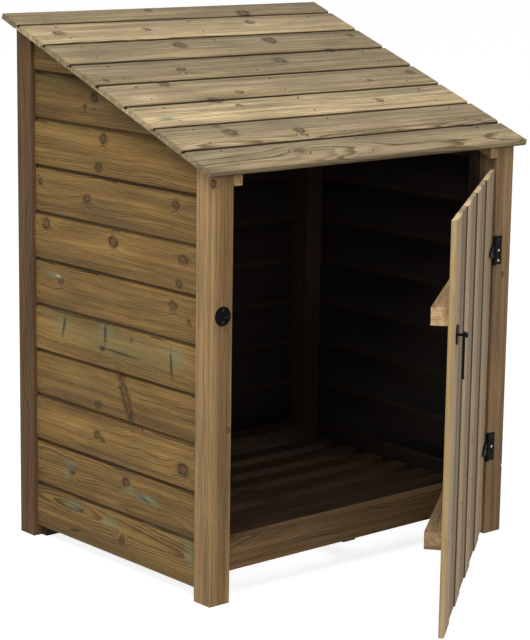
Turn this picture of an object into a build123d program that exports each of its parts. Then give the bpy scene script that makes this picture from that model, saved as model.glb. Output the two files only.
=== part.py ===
from build123d import *
from math import cos, radians, sin, tan
import os

os.makedirs("parts", exist_ok=True)

# Log store in millimetres. X runs to the right along the front, Y to the back and Z up.
# The origin is the centre of the underside of the front left post.

# Overall frame
width = 934.0
depth = 728.0
roof_top_height = 1260.0
roof_pitch = 20.5
front_overhang = 20.0
back_overhang = 21.0
side_overhang = 24.0
post_size = 57.0
post_edge = 2.0

# Wall boards
wall_board_cover = 110.6
wall_board_thickness = 14.0
wall_recess = 9.0
wall_bottom = 27.0
wall_end_gap = 1.0
wall_step = 2.2

# Lap shared by the wall boards and the roof boards
board_lap = 8.0
lap_clearance = 0.6
board_lip = 6.4
board_cove = 10.0
board_nose = 2.5

# Roof boards
roof_board_cover = 109.0
front_board_width = 103.0
roof_board_thickness = 14.0

# Rafters and uprights
rafter_width = 24.0
rafter_depth = 30.0
batten_width = 50.0
batten_thickness = 19.0

# Sill, bottom rail and floor
sill_height = 70.0
sill_bottom = 67.0
sill_thickness = 32.0
floor_top = 107.0
slat_width = 50.0
slat_thickness = 19.0
slat_pitch = 95.0
front_slat_setback = 146.0
second_slat_setback = 208.0
slat_end_gap = 3.0
bearer_width = 38.0
bearer_depth = 38.0

# Chip knocked out of the outer arris of the front right post
chip_middle = 166.0
chip_height = 8.0
chip_depth = 4.5
chip_length = 9.0

# Door
door_gap = 5.0
door_board_thickness = 12.0
door_board_count = 8
door_bottom = 18.0
door_top = 907.0
door_lip = 5.0
door_lap = 6.0
door_nose = 3.5
door_shoulder = 3.0
door_step = 2.2
door_tight_joint = 0.6
door_open_joint = 2.6
door_clearance = 5.0
ledge_size = 38.0
ledge_inset = 14.0
upper_ledge_height = 705.0
lower_ledge_height = 226.0
door_open_angle = 37.6

# Hinges
hinge_height = 69.0
upper_hinge_centre = 709.0
lower_hinge_centre = 221.0
hinge_plate_reach = 26.0
hinge_metal = 2.5
strap_length = 68.0
strap_root_height = 34.0
strap_tip_height = 13.0
knuckle_radius = 4.5
knuckle_lift = 0.1
knuckle_gap = 0.6
pin_radius = 2.4
pin_clearance = 0.08
pin_head_radius = 3.6
pin_head_height = 1.6

# Screw holes in the hinges and the round plates
screw_hole_radius = 2.2
screw_hole_flats = 8
plate_screw_reach = 16.0
plate_screw_rise = 25.0
strap_root_reach = 18.0
strap_root_rise = 8.0
strap_tip_reach = 60.0
latch_screw_rise = 13.5

# Cabin hook
stud_height = 660.0
latch_plate_radius = 21.0
latch_plate_thickness = 3.0
hook_from_edge = 60.0
hook_plane = 15.0
stud_radius = 3.0
stud_reach = 23.0
stud_end_radius = 5.5
stud_end_thickness = 5.0
ring_outer_radius = 7.5
ring_thickness = 5.0
ring_clearance = 0.08
hook_rod_radius = 3.0
hook_bend_radius = 6.0
hook_tip_reach = 14.0
hook_rise = 1.6
eye_ring_radius = 7.0
eye_bar_radius = 2.2
eye_bar_flats = 6
eye_bar_turn = 30.0

# Places worked out from the sizes
left = -post_size / 2
right = left + width
front = -post_size / 2
back = front + depth
inner_left = left + post_size
inner_right = right - post_size
inner_front = front + post_size
inner_back = back - post_size
tilt = radians(roof_pitch)
roof_front = front - front_overhang
roof_back = back + back_overhang
roof_front_height = roof_top_height - (roof_back - roof_front) * tan(tilt)
roof_length = (roof_back - roof_front) / cos(tilt)
wall_outer_left = left + wall_recess
wall_outer_right = right - wall_recess
wall_outer_back = back - wall_recess
wall_inner_left = wall_outer_left + wall_board_thickness
wall_inner_right = wall_outer_right - wall_board_thickness
wall_inner_back = wall_outer_back - wall_board_thickness
sill_front = front + door_board_thickness + door_clearance
sill_back = sill_front + sill_thickness
rail_front = wall_inner_back - sill_thickness
slat_room = rail_front - front - second_slat_setback - slat_width - slat_end_gap
spaced_slat_count = int(slat_room / slat_pitch) + 1
hinge_x = inner_right - door_gap / 2
hinge_y = front - knuckle_radius - knuckle_lift
door_left = inner_left + door_gap
door_right = inner_right - door_gap
door_board_cover = (door_right - door_left) / door_board_count
stud_x = door_left + hook_from_edge
catch_height = stud_height - hook_rod_radius - eye_bar_radius - hook_rise

# The open door's own frame: its origin is the foot of the hinge line
door_turn = radians(door_open_angle)
door_frame = Plane(
    origin=(hinge_x, hinge_y, 0), x_dir=(cos(door_turn), sin(door_turn), 0), z_dir=(0, 0, 1)
)


def slope_plane(drop, x=0):
    """Plane of the roof's top, facing up, moved down by drop and starting at the front edge."""
    start = Vector(x, roof_front + drop * sin(tilt), roof_front_height - drop * cos(tilt))
    return Plane(origin=start, x_dir=(1, 0, 0), z_dir=(0, -sin(tilt), cos(tilt)))


def door_point(x, y, z):
    """Place on the open door of a point given where it is when the door is shut."""
    return door_frame.from_local_coords(Vector(x - hinge_x, y - hinge_y, z))


def door_level(z):
    """Level plane that turns with the door, with its origin on the hinge line."""
    return Plane(origin=door_point(hinge_x, hinge_y, z), x_dir=door_frame.x_dir, z_dir=(0, 0, 1))


def door_front(x, y, z):
    """Upright plane parallel to the door, facing out of its front."""
    return Plane(origin=door_point(x, y, z), x_dir=door_frame.x_dir, z_dir=-door_frame.y_dir)


def lapped_board(
    cover, thickness, lip, lap, play, nose, shoulder, rounded=False, plain_start=False, plain_end=False
):
    """Closed outline of one lapped board with an eased nose, across it in x and inwards in y."""
    tongue = lip + play
    tongue_end = cover + lap - lap_clearance
    bulge = (shoulder**2 + tongue**2) / (2 * shoulder)
    Line((nose, 0), (0, nose))
    if plain_start:
        Polyline((0, nose), (0, thickness), (lap, thickness))
    else:
        Polyline((0, nose), (0, lip), (lap, lip), (lap, thickness))
    if plain_end:
        Polyline((lap, thickness), (cover, thickness), (cover, nose), (cover - nose, 0), (nose, 0))
    else:
        Polyline((lap, thickness), (tongue_end, thickness), (tongue_end, tongue), (cover, tongue))
        RadiusArc((cover, tongue), (cover - shoulder, 0), bulge if rounded else -bulge)
        Line((cover - shoulder, 0), (nose, 0))


def save(piece, name):
    """Label a finished piece and write it to its own file."""
    piece.part.label = name
    export_step(piece.part, f"parts/{name}.step")


# Posts, cut at the top to the slope of the roof
def post(name, x, y, chipped=False):
    """Square post on the ground, up to the underside of the roof boards."""
    with BuildPart() as piece:
        with BuildSketch(Plane.XY):
            with Locations((x, y)):
                RectangleRounded(post_size, post_size, post_edge)
        extrude(amount=roof_top_height)
        split(bisect_by=slope_plane(roof_board_thickness), keep=Keep.BOTTOM)
        if chipped:
            corner = Vector(x + post_size / 2, y - post_size / 2, chip_middle)
            with BuildSketch(Plane(origin=corner, x_dir=(1, 0, 0), z_dir=(0, -1, 0))):
                with BuildLine():
                    Polyline((0, chip_height / 2), (-chip_depth, 0), (0, -chip_height / 2), close=True)
                make_face()
            extrude(amount=-chip_length, mode=Mode.SUBTRACT)
    save(piece, name)


post_right_x = right - post_size / 2
post_back_y = back - post_size / 2
post("front_left_post", 0, 0)
post("front_right_post", post_right_x, 0, chipped=True)
post("back_left_post", 0, post_back_y)
post("back_right_post", post_right_x, post_back_y)


# Side and back walls of lapped boards between the posts
def wall(name, start, along, length, top):
    """Lapped boards from the bottom of the wall up to the roof, along a level line that starts at a point."""
    with BuildPart() as piece:
        rise = top - wall_bottom
        courses = int(rise / wall_board_cover) + 1
        for course in range(courses):
            step = wall_step if course % 2 else 0
            inwards = Vector(along).cross(Vector(0, 0, 1))
            corner = Vector(start) + inwards * step + Vector(0, 0, wall_bottom + course * wall_board_cover)
            with BuildSketch(Plane(origin=corner, x_dir=(0, 0, 1), z_dir=along)):
                with BuildLine():
                    lapped_board(
                        wall_board_cover,
                        wall_board_thickness - step,
                        board_lip,
                        board_lap,
                        lap_clearance + wall_step,
                        board_nose,
                        board_cove,
                        plain_start=course == 0,
                    )
                make_face()
            extrude(amount=length)
        split(bisect_by=slope_plane(roof_board_thickness), keep=Keep.BOTTOM)
    save(piece, name)


side_start = inner_front + wall_end_gap
side_end = inner_back - wall_end_gap
side_length = side_end - side_start
back_start = inner_left + wall_end_gap
back_length = inner_right - wall_end_gap - back_start
wall("left_cladding", (wall_outer_left, side_start, 0), (0, 1, 0), side_length, roof_top_height)
wall("right_cladding", (wall_outer_right, side_end, 0), (0, -1, 0), side_length, roof_top_height)
wall("back_cladding", (back_start, wall_outer_back, 0), (1, 0, 0), back_length, roof_top_height)


# Uprights that the wall boards are nailed to
def batten(name, x_low, x_high, y_low, y_high):
    """Upright batten on the ground, up to the underside of the rafter."""
    with BuildPart() as piece:
        with BuildSketch(Plane.XY):
            with Locations((x_low, y_low)):
                Rectangle(x_high - x_low, y_high - y_low, align=(Align.MIN, Align.MIN))
        extrude(amount=roof_top_height)
        split(bisect_by=slope_plane(roof_board_thickness + rafter_depth), keep=Keep.BOTTOM)
    save(piece, name)


left_batten_end = wall_inner_left + batten_width
right_batten_start = wall_inner_right - batten_width
front_batten_back = inner_front + batten_thickness
back_batten_front = inner_back - batten_thickness
batten("left_front_batten", wall_inner_left, left_batten_end, inner_front, front_batten_back)
batten("left_back_batten", wall_inner_left, left_batten_end, back_batten_front, inner_back)
batten("right_front_batten", right_batten_start, wall_inner_right, inner_front, front_batten_back)
batten("right_back_batten", right_batten_start, wall_inner_right, back_batten_front, inner_back)
batten("back_left_batten", inner_left, inner_left + batten_thickness, inner_back, wall_inner_back)
batten("back_right_batten", inner_right - batten_thickness, inner_right, inner_back, wall_inner_back)


# Rafters along the inner faces of the posts
def rafter(name, x_low):
    """Sloping bearer under the roof boards, cut plumb at the faces of the posts."""
    with BuildPart() as piece:
        with BuildSketch(Plane(origin=(x_low, 0, 0), x_dir=(0, 1, 0), z_dir=(1, 0, 0))):
            with BuildLine():
                fall = roof_board_thickness / cos(tilt)
                drop = rafter_depth / cos(tilt)
                low = roof_front_height + (front - roof_front) * tan(tilt) - fall
                high = roof_front_height + (wall_inner_back - roof_front) * tan(tilt) - fall
                Polyline(
                    (front, low),
                    (wall_inner_back, high),
                    (wall_inner_back, high - drop),
                    (front, low - drop),
                    close=True,
                )
            make_face()
        extrude(amount=rafter_width)
    save(piece, name)


rafter("left_rafter", inner_left)
rafter("right_rafter", inner_right - rafter_width)

# Roof boards lapped up the slope, the back one ripped to what is left
roof_left = left - side_overhang
roof_width = width + 2 * side_overhang
roof_starts = [0.0, front_board_width]
while roof_length - roof_starts[-1] > roof_board_cover:
    roof_starts.append(roof_starts[-1] + roof_board_cover)
for number, start in enumerate(roof_starts):
    is_back = number == len(roof_starts) - 1
    end = roof_length if is_back else roof_starts[number + 1]
    edge = slope_plane(0, roof_left + roof_width)
    with BuildPart() as roof_board:
        low_edge = edge.from_local_coords(Vector(0, start, 0))
        with BuildSketch(Plane(origin=low_edge, x_dir=edge.y_dir, z_dir=(-1, 0, 0))):
            with BuildLine():
                lapped_board(
                    end - start,
                    roof_board_thickness,
                    board_lip,
                    board_lap,
                    lap_clearance,
                    board_nose,
                    board_cove,
                    plain_start=number == 0,
                    plain_end=is_back,
                )
            make_face()
        extrude(amount=roof_width)
    save(roof_board, f"roof_board_{number + 1}")


# Sill, back rail and floor
def bar(name, x_low, x_high, y_low, y_high, z_low, z_high):
    """Straight sawn bar between two corners."""
    with BuildPart() as piece:
        with BuildSketch(Plane.XY.offset(z_low)):
            with Locations((x_low, y_low)):
                Rectangle(x_high - x_low, y_high - y_low, align=(Align.MIN, Align.MIN))
        extrude(amount=z_high - z_low)
    save(piece, name)


sill_top = sill_bottom + sill_height
bearer_top = floor_top - slat_thickness
bearer_bottom = bearer_top - bearer_depth
middle_x = (left + right) / 2
bar("front_sill", inner_left, inner_right, sill_front, sill_back, sill_bottom, sill_top)
bar(
    "back_bottom_rail",
    inner_left + batten_thickness,
    inner_right - batten_thickness,
    rail_front,
    wall_inner_back,
    sill_bottom,
    sill_top,
)
for name, x_low, y_low, y_high in (
    ("left_floor_bearer", wall_inner_left, front_batten_back, back_batten_front),
    ("middle_floor_bearer", middle_x - bearer_width / 2, sill_back, rail_front),
    ("right_floor_bearer", wall_inner_right - bearer_width, front_batten_back, back_batten_front),
):
    bar(name, x_low, x_low + bearer_width, y_low, y_high, bearer_bottom, bearer_top)

slat_starts = [front_slat_setback]
for slat in range(spaced_slat_count):
    slat_starts.append(second_slat_setback + slat * slat_pitch)
with BuildPart() as floor_slats:
    with BuildSketch(Plane.XY.offset(bearer_top)):
        for setback in slat_starts:
            with Locations((wall_inner_left + slat_end_gap, front + setback)):
                Rectangle(
                    wall_inner_right - wall_inner_left - 2 * slat_end_gap,
                    slat_width,
                    align=(Align.MIN, Align.MIN),
                )
    extrude(amount=slat_thickness)
save(floor_slats, "floor_slats")

# Door boards, every second joint standing a little open
with BuildPart() as door_boards:
    for board in range(door_board_count):
        start = door_left + board * door_board_cover
        is_first = board == 0
        is_last = board == door_board_count - 1
        step = door_step if board % 2 else 0
        joint = door_tight_joint if board % 2 else door_open_joint
        gap = 0 if is_first else joint
        corner = door_point(start + gap, front + step, door_bottom)
        with BuildSketch(Plane(origin=corner, x_dir=door_frame.x_dir, z_dir=(0, 0, 1))):
            with BuildLine():
                lapped_board(
                    door_board_cover - gap,
                    door_board_thickness - step,
                    door_lip,
                    door_lap,
                    lap_clearance + door_step,
                    door_nose,
                    door_shoulder,
                    rounded=True,
                    plain_start=is_first,
                    plain_end=is_last,
                )
            make_face()
        extrude(amount=door_top - door_bottom)
save(door_boards, "door_boards")


# Ledges across the back of the door
def ledge(name, height):
    """Square bar across the inside of the door boards, centred on a height."""
    with BuildPart() as piece:
        corner = door_point(door_left + ledge_inset, front + door_board_thickness, height - ledge_size / 2)
        with BuildSketch(Plane(origin=corner, x_dir=door_frame.x_dir, z_dir=(0, 0, 1))):
            Rectangle(
                door_right - door_left - 2 * ledge_inset, ledge_size, align=(Align.MIN, Align.MIN)
            )
        extrude(amount=ledge_size)
    save(piece, name)


ledge("upper_door_ledge", upper_ledge_height)
ledge("lower_door_ledge", lower_ledge_height)


def screw_holes(face, places, metal):
    """Screw holes through a plate, at places on its outer face, with few flats because they are many."""
    with BuildSketch(face) as holes:
        with Locations(*places):
            RegularPolygon(screw_hole_radius, screw_hole_flats)
    extrude(holes.sketch, amount=-metal, mode=Mode.SUBTRACT)


# Tee hinges: a plate on the post, a tapered strap on the door and a pin through both
knuckle_third = hinge_height / 3
knuckle_cut = knuckle_radius + knuckle_gap
plate_screw_rises = (-plate_screw_rise, 0, plate_screw_rise)
latch_screws = [(0, latch_screw_rise), (0, -latch_screw_rise)]


def hinge(name, height):
    """One hinge, centred on a height: its plate, its strap and its pin."""
    low = height - hinge_height / 2
    with BuildPart() as plate:
        with BuildSketch(Plane(origin=(hinge_x, front, height), x_dir=(1, 0, 0), z_dir=(0, -1, 0))):
            Rectangle(hinge_plate_reach, hinge_height, align=(Align.MIN, Align.CENTER))
            Rectangle(
                knuckle_cut,
                knuckle_third + 2 * knuckle_gap,
                align=(Align.MIN, Align.CENTER),
                mode=Mode.SUBTRACT,
            )
        extrude(amount=hinge_metal)
        for end in (low, low + 2 * knuckle_third):
            with BuildSketch(Plane((hinge_x, hinge_y, end))):
                Circle(knuckle_radius)
            extrude(amount=knuckle_third)
        with BuildSketch(Plane((hinge_x, hinge_y, low))):
            Circle(pin_radius)
        extrude(amount=hinge_height, mode=Mode.SUBTRACT)
        face = Plane(origin=(hinge_x, front - hinge_metal, height), x_dir=(1, 0, 0), z_dir=(0, -1, 0))
        screw_holes(face, [(plate_screw_reach, rise) for rise in plate_screw_rises], hinge_metal)
    save(plate, f"{name}_hinge_plate")

    strap_tip_x = hinge_x - strap_length
    root = knuckle_third / 2 - knuckle_gap
    with BuildPart() as strap:
        with BuildSketch(door_front(hinge_x, front, height)):
            with BuildLine():
                Polyline(
                    (0, -root),
                    (-knuckle_cut, -root),
                    (-knuckle_cut, -strap_root_height / 2),
                    (-strap_length, -strap_tip_height / 2),
                )
                RadiusArc(
                    (-strap_length, -strap_tip_height / 2),
                    (-strap_length, strap_tip_height / 2),
                    strap_tip_height / 2,
                )
                Polyline(
                    (-strap_length, strap_tip_height / 2),
                    (-knuckle_cut, strap_root_height / 2),
                    (-knuckle_cut, root),
                    (0, root),
                    (0, -root),
                )
            make_face()
        extrude(amount=hinge_metal)
        with BuildSketch(door_level(height - root)):
            Circle(knuckle_radius)
        extrude(amount=2 * root)
        with BuildSketch(door_level(height - root)):
            Circle(pin_radius + pin_clearance)
        extrude(amount=2 * root, mode=Mode.SUBTRACT)
        places = [(-strap_root_reach, strap_root_rise), (-strap_root_reach, -strap_root_rise)]
        places.append((-strap_tip_reach, 0))
        screw_holes(door_front(hinge_x, front - hinge_metal, height), places, hinge_metal)
    save(strap, f"{name}_hinge_strap")

    with BuildPart() as pin:
        with BuildSketch(Plane((hinge_x, hinge_y, low))):
            Circle(pin_radius)
        extrude(amount=hinge_height)
        with BuildSketch(Plane((hinge_x, hinge_y, low + hinge_height))):
            Circle(pin_head_radius)
        extrude(amount=pin_head_height)
    save(pin, f"{name}_hinge_pin")


hinge("upper", upper_hinge_centre)
hinge("lower", lower_hinge_centre)

# Round plate on the door with the stud that the hook hangs on
with BuildPart() as hook_plate:
    face = door_front(stud_x, front, stud_height)
    with BuildSketch(face):
        Circle(latch_plate_radius)
    extrude(amount=latch_plate_thickness)
    with BuildSketch(face):
        Circle(stud_radius)
    extrude(amount=stud_reach)
    with BuildSketch(face.offset(stud_reach - stud_end_thickness)):
        Circle(stud_end_radius)
    extrude(amount=stud_end_thickness)
    screw_holes(face.offset(latch_plate_thickness), latch_screws, latch_plate_thickness)
save(hook_plate, "hook_plate")

# Hook hanging on the stud: a ring, a round rod and a bent tip
hook_drop = stud_x
with BuildPart() as cabin_hook:
    middle = door_front(stud_x, front - hook_plane, stud_height)
    with BuildSketch(middle.offset(-ring_thickness / 2)):
        Circle(ring_outer_radius)
    extrude(amount=ring_thickness)
    rod_top = (0, -(stud_radius + ring_outer_radius) / 2)
    with BuildLine(middle):
        Line(rod_top, (0, hook_bend_radius - hook_drop))
        RadiusArc((0, hook_bend_radius - hook_drop), (hook_bend_radius, -hook_drop), -hook_bend_radius)
        Line((hook_bend_radius, -hook_drop), (hook_tip_reach, -hook_drop))
    with BuildSketch(Plane(origin=middle.from_local_coords(Vector(*rod_top)), z_dir=-middle.y_dir)):
        Circle(hook_rod_radius)
    sweep()
    with BuildSketch(middle.offset(-ring_thickness)):
        Circle(stud_radius + ring_clearance)
    extrude(amount=2 * ring_thickness, mode=Mode.SUBTRACT)
save(cabin_hook, "cabin_hook")

# Round plate on the post and the level ring that takes the hook's tip
with BuildPart() as catch_plate:
    face = Plane(origin=(0, front, catch_height), x_dir=(1, 0, 0), z_dir=(0, -1, 0))
    with BuildSketch(face):
        Circle(latch_plate_radius)
    extrude(amount=latch_plate_thickness)
    screw_holes(face.offset(latch_plate_thickness), latch_screws, latch_plate_thickness)
save(catch_plate, "catch_plate")

with BuildPart() as catch_eye:
    with BuildSketch(Plane(origin=(eye_ring_radius, front - hook_plane, catch_height), z_dir=(0, -1, 0))):
        RegularPolygon(eye_bar_radius, eye_bar_flats, rotation=eye_bar_turn)
    revolve(axis=Axis((0, front - hook_plane, catch_height), (0, 0, 1)))
    with BuildSketch(Plane(origin=(0, front - latch_plate_thickness, catch_height), z_dir=(0, -1, 0))):
        RegularPolygon(eye_bar_radius, eye_bar_flats, rotation=eye_bar_turn)
    extrude(amount=hook_plane - latch_plate_thickness - eye_ring_radius)
save(catch_eye, "catch_eye")
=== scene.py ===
"""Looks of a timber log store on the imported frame, with its boards, posts, floor, door and ironwork."""

import logging
import math
from collections.abc import Iterable, Mapping, Sequence
from dataclasses import dataclass, field, replace
from enum import Enum
from functools import cache

import bmesh
import bpy
from mathutils import Matrix, Vector


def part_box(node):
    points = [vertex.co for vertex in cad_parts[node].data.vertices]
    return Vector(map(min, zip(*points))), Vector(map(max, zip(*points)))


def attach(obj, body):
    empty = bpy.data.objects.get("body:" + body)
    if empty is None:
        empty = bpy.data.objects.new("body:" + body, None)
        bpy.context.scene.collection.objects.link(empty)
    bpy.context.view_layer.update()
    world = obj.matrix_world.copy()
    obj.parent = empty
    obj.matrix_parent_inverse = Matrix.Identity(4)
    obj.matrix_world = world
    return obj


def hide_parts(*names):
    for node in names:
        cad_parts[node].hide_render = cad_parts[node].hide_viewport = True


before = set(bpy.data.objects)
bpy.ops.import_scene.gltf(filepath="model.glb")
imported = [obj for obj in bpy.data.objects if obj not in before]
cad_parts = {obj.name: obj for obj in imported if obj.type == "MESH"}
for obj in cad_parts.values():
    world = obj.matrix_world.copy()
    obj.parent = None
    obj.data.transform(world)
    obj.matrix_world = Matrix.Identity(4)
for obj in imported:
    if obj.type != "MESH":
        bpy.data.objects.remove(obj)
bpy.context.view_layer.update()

log = logging.getLogger("log_store")

Socket = bpy.types.NodeSocket
Sockets = Mapping[str | int, Socket]
Colour = tuple[float, float, float]
Value = Socket | float | Colour

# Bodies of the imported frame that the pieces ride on
STORE = "store"
DOOR = "door"

# Sizes and places of the store in metres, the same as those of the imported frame
POST = 0.057
LEFT = -POST / 2
RIGHT = LEFT + 0.934
FRONT = -POST / 2
BACK = FRONT + 0.728
ROOF_TOP = 1.26
ROOF_TILT = math.radians(20.5)
ROOF_FRONT = FRONT - 0.020
ROOF_BACK = BACK + 0.021
ROOF_LEFT = LEFT - 0.024
ROOF_WIDTH = 0.982
ROOF_THICKNESS = 0.014
ROOF_LENGTH = (ROOF_BACK - ROOF_FRONT) / math.cos(ROOF_TILT)
ROOF_FRONT_HEIGHT = ROOF_TOP - (ROOF_BACK - ROOF_FRONT) * math.tan(ROOF_TILT)
FIRST_ROOF_COVER = 0.103
ROOF_COVER = 0.109
ROOF_BOARDS = 8
WALL_RECESS = 0.009
WALL_THICKNESS = 0.014
WALL_BOTTOM = 0.027
WALL_COVER = 0.1106
WALL_COURSES = 11
WALL_END_GAP = 0.001
DOOR_TURN = math.radians(37.6)
HINGE_LINE = Vector((0.846, -0.0331, 0.0))
DOOR_LEFT = 0.0335
DOOR_RIGHT = 0.8435
DOOR_BOTTOM = 0.018
DOOR_TOP = 0.907
DOOR_BOARDS = 8
HINGE_METAL = 0.0025
LATCH_METAL = 0.003

X_AXIS = Vector((1.0, 0.0, 0.0))
Y_AXIS = Vector((0.0, 1.0, 0.0))
Z_AXIS = Vector((0.0, 0.0, 1.0))
UP_SLOPE = Vector((0.0, math.cos(ROOF_TILT), math.sin(ROOF_TILT)))
DOOR_ACROSS = Vector((math.cos(DOOR_TURN), math.sin(DOOR_TURN), 0.0))
DOOR_OUT = Vector((math.sin(DOOR_TURN), -math.cos(DOOR_TURN), 0.0))

FLOAT = "NodeSocketFloat"
WHOLE = "NodeSocketInt"
VECTOR = "NodeSocketVector"
COLOUR = "NodeSocketColor"
OBJECT = "NodeSocketObject"
MATERIAL = "NodeSocketMaterial"
GEOMETRY = "NodeSocketGeometry"


def shown(red: int, green: int, blue: int) -> Colour:
    """Linear colour from three display values of 0 to 255.

    Args:
        red: Display red.
        green: Display green.
        blue: Display blue.

    Returns:
        The same colour as the shaders take it.
    """

    def linear(value: int) -> float:
        """One channel's light."""
        share = value / 255
        return share / 12.92 if share <= 0.04045 else ((share + 0.055) / 1.055) ** 2.4

    return (linear(red), linear(green), linear(blue))


def door_point(x: float, y: float, z: float) -> Vector:
    """Place on the open door of a point given where it is when the door is shut."""
    return HINGE_LINE + DOOR_ACROSS * (x - HINGE_LINE.x) - DOOR_OUT * (y - HINGE_LINE.y) + Z_AXIS * z


@dataclass(frozen=True)
class Lay:
    """Frame of boards or a bar, along the grain, across it and, by the right-hand rule, out of the face."""

    origin: Vector
    along: Vector
    across: Vector

    @property
    def out(self) -> Vector:
        """Direction out of the face."""
        return self.along.cross(self.across)

    @property
    def matrix(self) -> Matrix:
        """Matrix from this frame's places to those of the store."""
        turn = Matrix((self.along, self.across, self.out)).transposed()
        return Matrix.Translation(self.origin) @ turn.to_4x4()

    def at(self, along: float, across: float, out: float = 0.0) -> Vector:
        """Point of the store at a place in this frame."""
        return self.origin + self.along * along + self.across * across + self.out * out


class Nodes:
    """Adds linked nodes to one node tree, of shaders or of geometry."""

    def __init__(self, tree: bpy.types.NodeTree) -> None:
        """Keeps the tree that the nodes go into."""
        self.tree = tree

    def add(self, kind: str, inputs: dict | None = None, **settings: object) -> bpy.types.Node:
        """Adds one node and sets or links its inputs.

        Args:
            kind: Blender's name of the node's type.
            inputs: Values or sockets by the input's name or number.
            **settings: Properties of the node itself.

        Returns:
            The new node.
        """
        node = self.tree.nodes.new(kind)
        for name, value in settings.items():
            setattr(node, name, value)
        for name, value in (inputs or {}).items():
            if isinstance(value, bpy.types.NodeSocket):
                self.tree.links.new(value, node.inputs[name])
            elif isinstance(value, tuple) and len(value) == 3 and node.inputs[name].type == "RGBA":
                node.inputs[name].default_value = (*value, 1.0)
            else:
                node.inputs[name].default_value = value
        return node

    def link(self, value: Socket, target: Socket) -> None:
        """Links an output to an input."""
        self.tree.links.new(value, target)

    def math(self, operation: str, *values: Value, clamp: bool = False) -> Socket:
        """Result of one Math node on one to three values or sockets."""
        settings = {"operation": operation, "use_clamp": clamp}
        return self.add("ShaderNodeMath", dict(enumerate(values)), **settings).outputs[0]

    def total(self, *values: Value) -> Socket:
        """Sum of several values.

        Args:
            *values: Numbers or sockets.

        Returns:
            Their sum.
        """
        result = values[0]
        for value in values[1:]:
            result = self.math("ADD", result, value)
        return result

    def product(self, *values: Value) -> Socket:
        """Product of several values.

        Args:
            *values: Numbers or sockets.

        Returns:
            Their product.
        """
        result = values[0]
        for value in values[1:]:
            result = self.math("MULTIPLY", result, value)
        return result

    def vector(self, operation: str, *values: Value) -> Socket:
        """Result of one Vector Math node, its number for a length and its vector otherwise."""
        node = self.add("ShaderNodeVectorMath", dict(enumerate(values)), operation=operation)
        return node.outputs["Value" if operation in ("LENGTH", "DISTANCE", "DOT_PRODUCT") else "Vector"]

    def scaled(self, vector: Socket, factor: float) -> Socket:
        """Vector times a number."""
        return self.vector("MULTIPLY", vector, (factor, factor, factor))

    def join(self, x: Value = 0.0, y: Value = 0.0, z: Value = 0.0) -> Socket:
        """Vector of three numbers or sockets."""
        return self.add("ShaderNodeCombineXYZ", {0: x, 1: y, 2: z}).outputs[0]

    def ramp(
        self, value: Socket, low: float, high: float, to_low: float = 0.0, to_high: float = 1.0
    ) -> Socket:
        """Smooth step of a value from one range to another.

        Args:
            value: What is stepped.
            low: Where the step starts.
            high: Where the step ends.
            to_low: Result before the start.
            to_high: Result past the end.

        Returns:
            The stepped value.
        """
        inputs = {0: value, 1: low, 2: high, 3: to_low, 4: to_high}
        return self.add("ShaderNodeMapRange", inputs, interpolation_type="SMOOTHSTEP").outputs[0]

    def noise(self, vector: Socket, scale: float, detail: float = 2.0, rough: float = 0.5) -> Socket:
        """Value of a Noise texture at a point."""
        inputs = {"Vector": vector, "Scale": scale, "Detail": detail, "Roughness": rough}
        return self.add("ShaderNodeTexNoise", inputs).outputs[0]

    def mix(self, share: Value, first: Value, second: Value, blend: str = "MIX") -> Socket:
        """Colour mixed from two.

        Args:
            share: How much of the second colour shows.
            first: Colour or socket underneath.
            second: Colour or socket on top.
            blend: Blender's name of the way of mixing.

        Returns:
            The mixed colour.
        """
        inputs = {0: share, 6: first, 7: second}
        settings = {"data_type": "RGBA", "blend_type": blend, "clamp_factor": True}
        return self.add("ShaderNodeMix", inputs, **settings).outputs[2]

    def mix_value(self, share: Value, first: Value, second: Value) -> Socket:
        """Number mixed from two by a share."""
        return self.add("ShaderNodeMix", {0: share, 2: first, 3: second}, data_type="FLOAT").outputs[0]

    def dim(self, colour: Socket, factor: Value) -> Socket:
        """Colour times a number."""
        return self.add("ShaderNodeVectorMath", {0: colour, "Scale": factor}, operation="SCALE").outputs[0]


def start_group(
    kind: str, name: str, inputs: Iterable[tuple], outputs: Iterable[tuple]
) -> tuple[Nodes, bpy.types.Node, bpy.types.Node]:
    """Starts a node group with named inputs.

    Args:
        kind: Blender's name of the tree's type.
        name: Name of the group.
        inputs: Label, kind of socket and value of each input.
        outputs: Label and kind of socket of each output.

    Returns:
        Its nodes, its input node and its output node.
    """
    tree = bpy.data.node_groups.new(name, kind)
    for label, socket, value in inputs:
        made = tree.interface.new_socket(label, in_out="INPUT", socket_type=socket)
        if value is not None:
            made.default_value = value
    for label, socket in outputs:
        tree.interface.new_socket(label, in_out="OUTPUT", socket_type=socket)
    nodes = Nodes(tree)
    return nodes, nodes.add("NodeGroupInput"), nodes.add("NodeGroupOutput")


def start_material(name: str) -> tuple[bpy.types.Material, Nodes]:
    """Makes an empty material.

    Args:
        name: Name of the material.

    Returns:
        The material and its nodes.
    """
    material = bpy.data.materials.new(name)
    material.use_nodes = True
    material.node_tree.nodes.clear()
    return material, Nodes(material.node_tree)


@dataclass(frozen=True)
class Knot:
    """Knot in a board's face, placed in the face's own frame in metres."""

    along: float
    across: float
    length: float = 0.0105
    width: float = 0.0085
    turn: float = 0.0
    out: float = 0.0
    depth: float = 10.0


@dataclass(frozen=True)
class Stain:
    """Patch of another colour soaked into a face or a crack in it, placed as a knot is; painted shade is laid
    the same way.
    """

    along: float
    across: float
    length: float
    width: float
    colour: Colour
    strength: float = 0.6
    turn: float = 0.0
    ragged: float = 1.6


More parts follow.
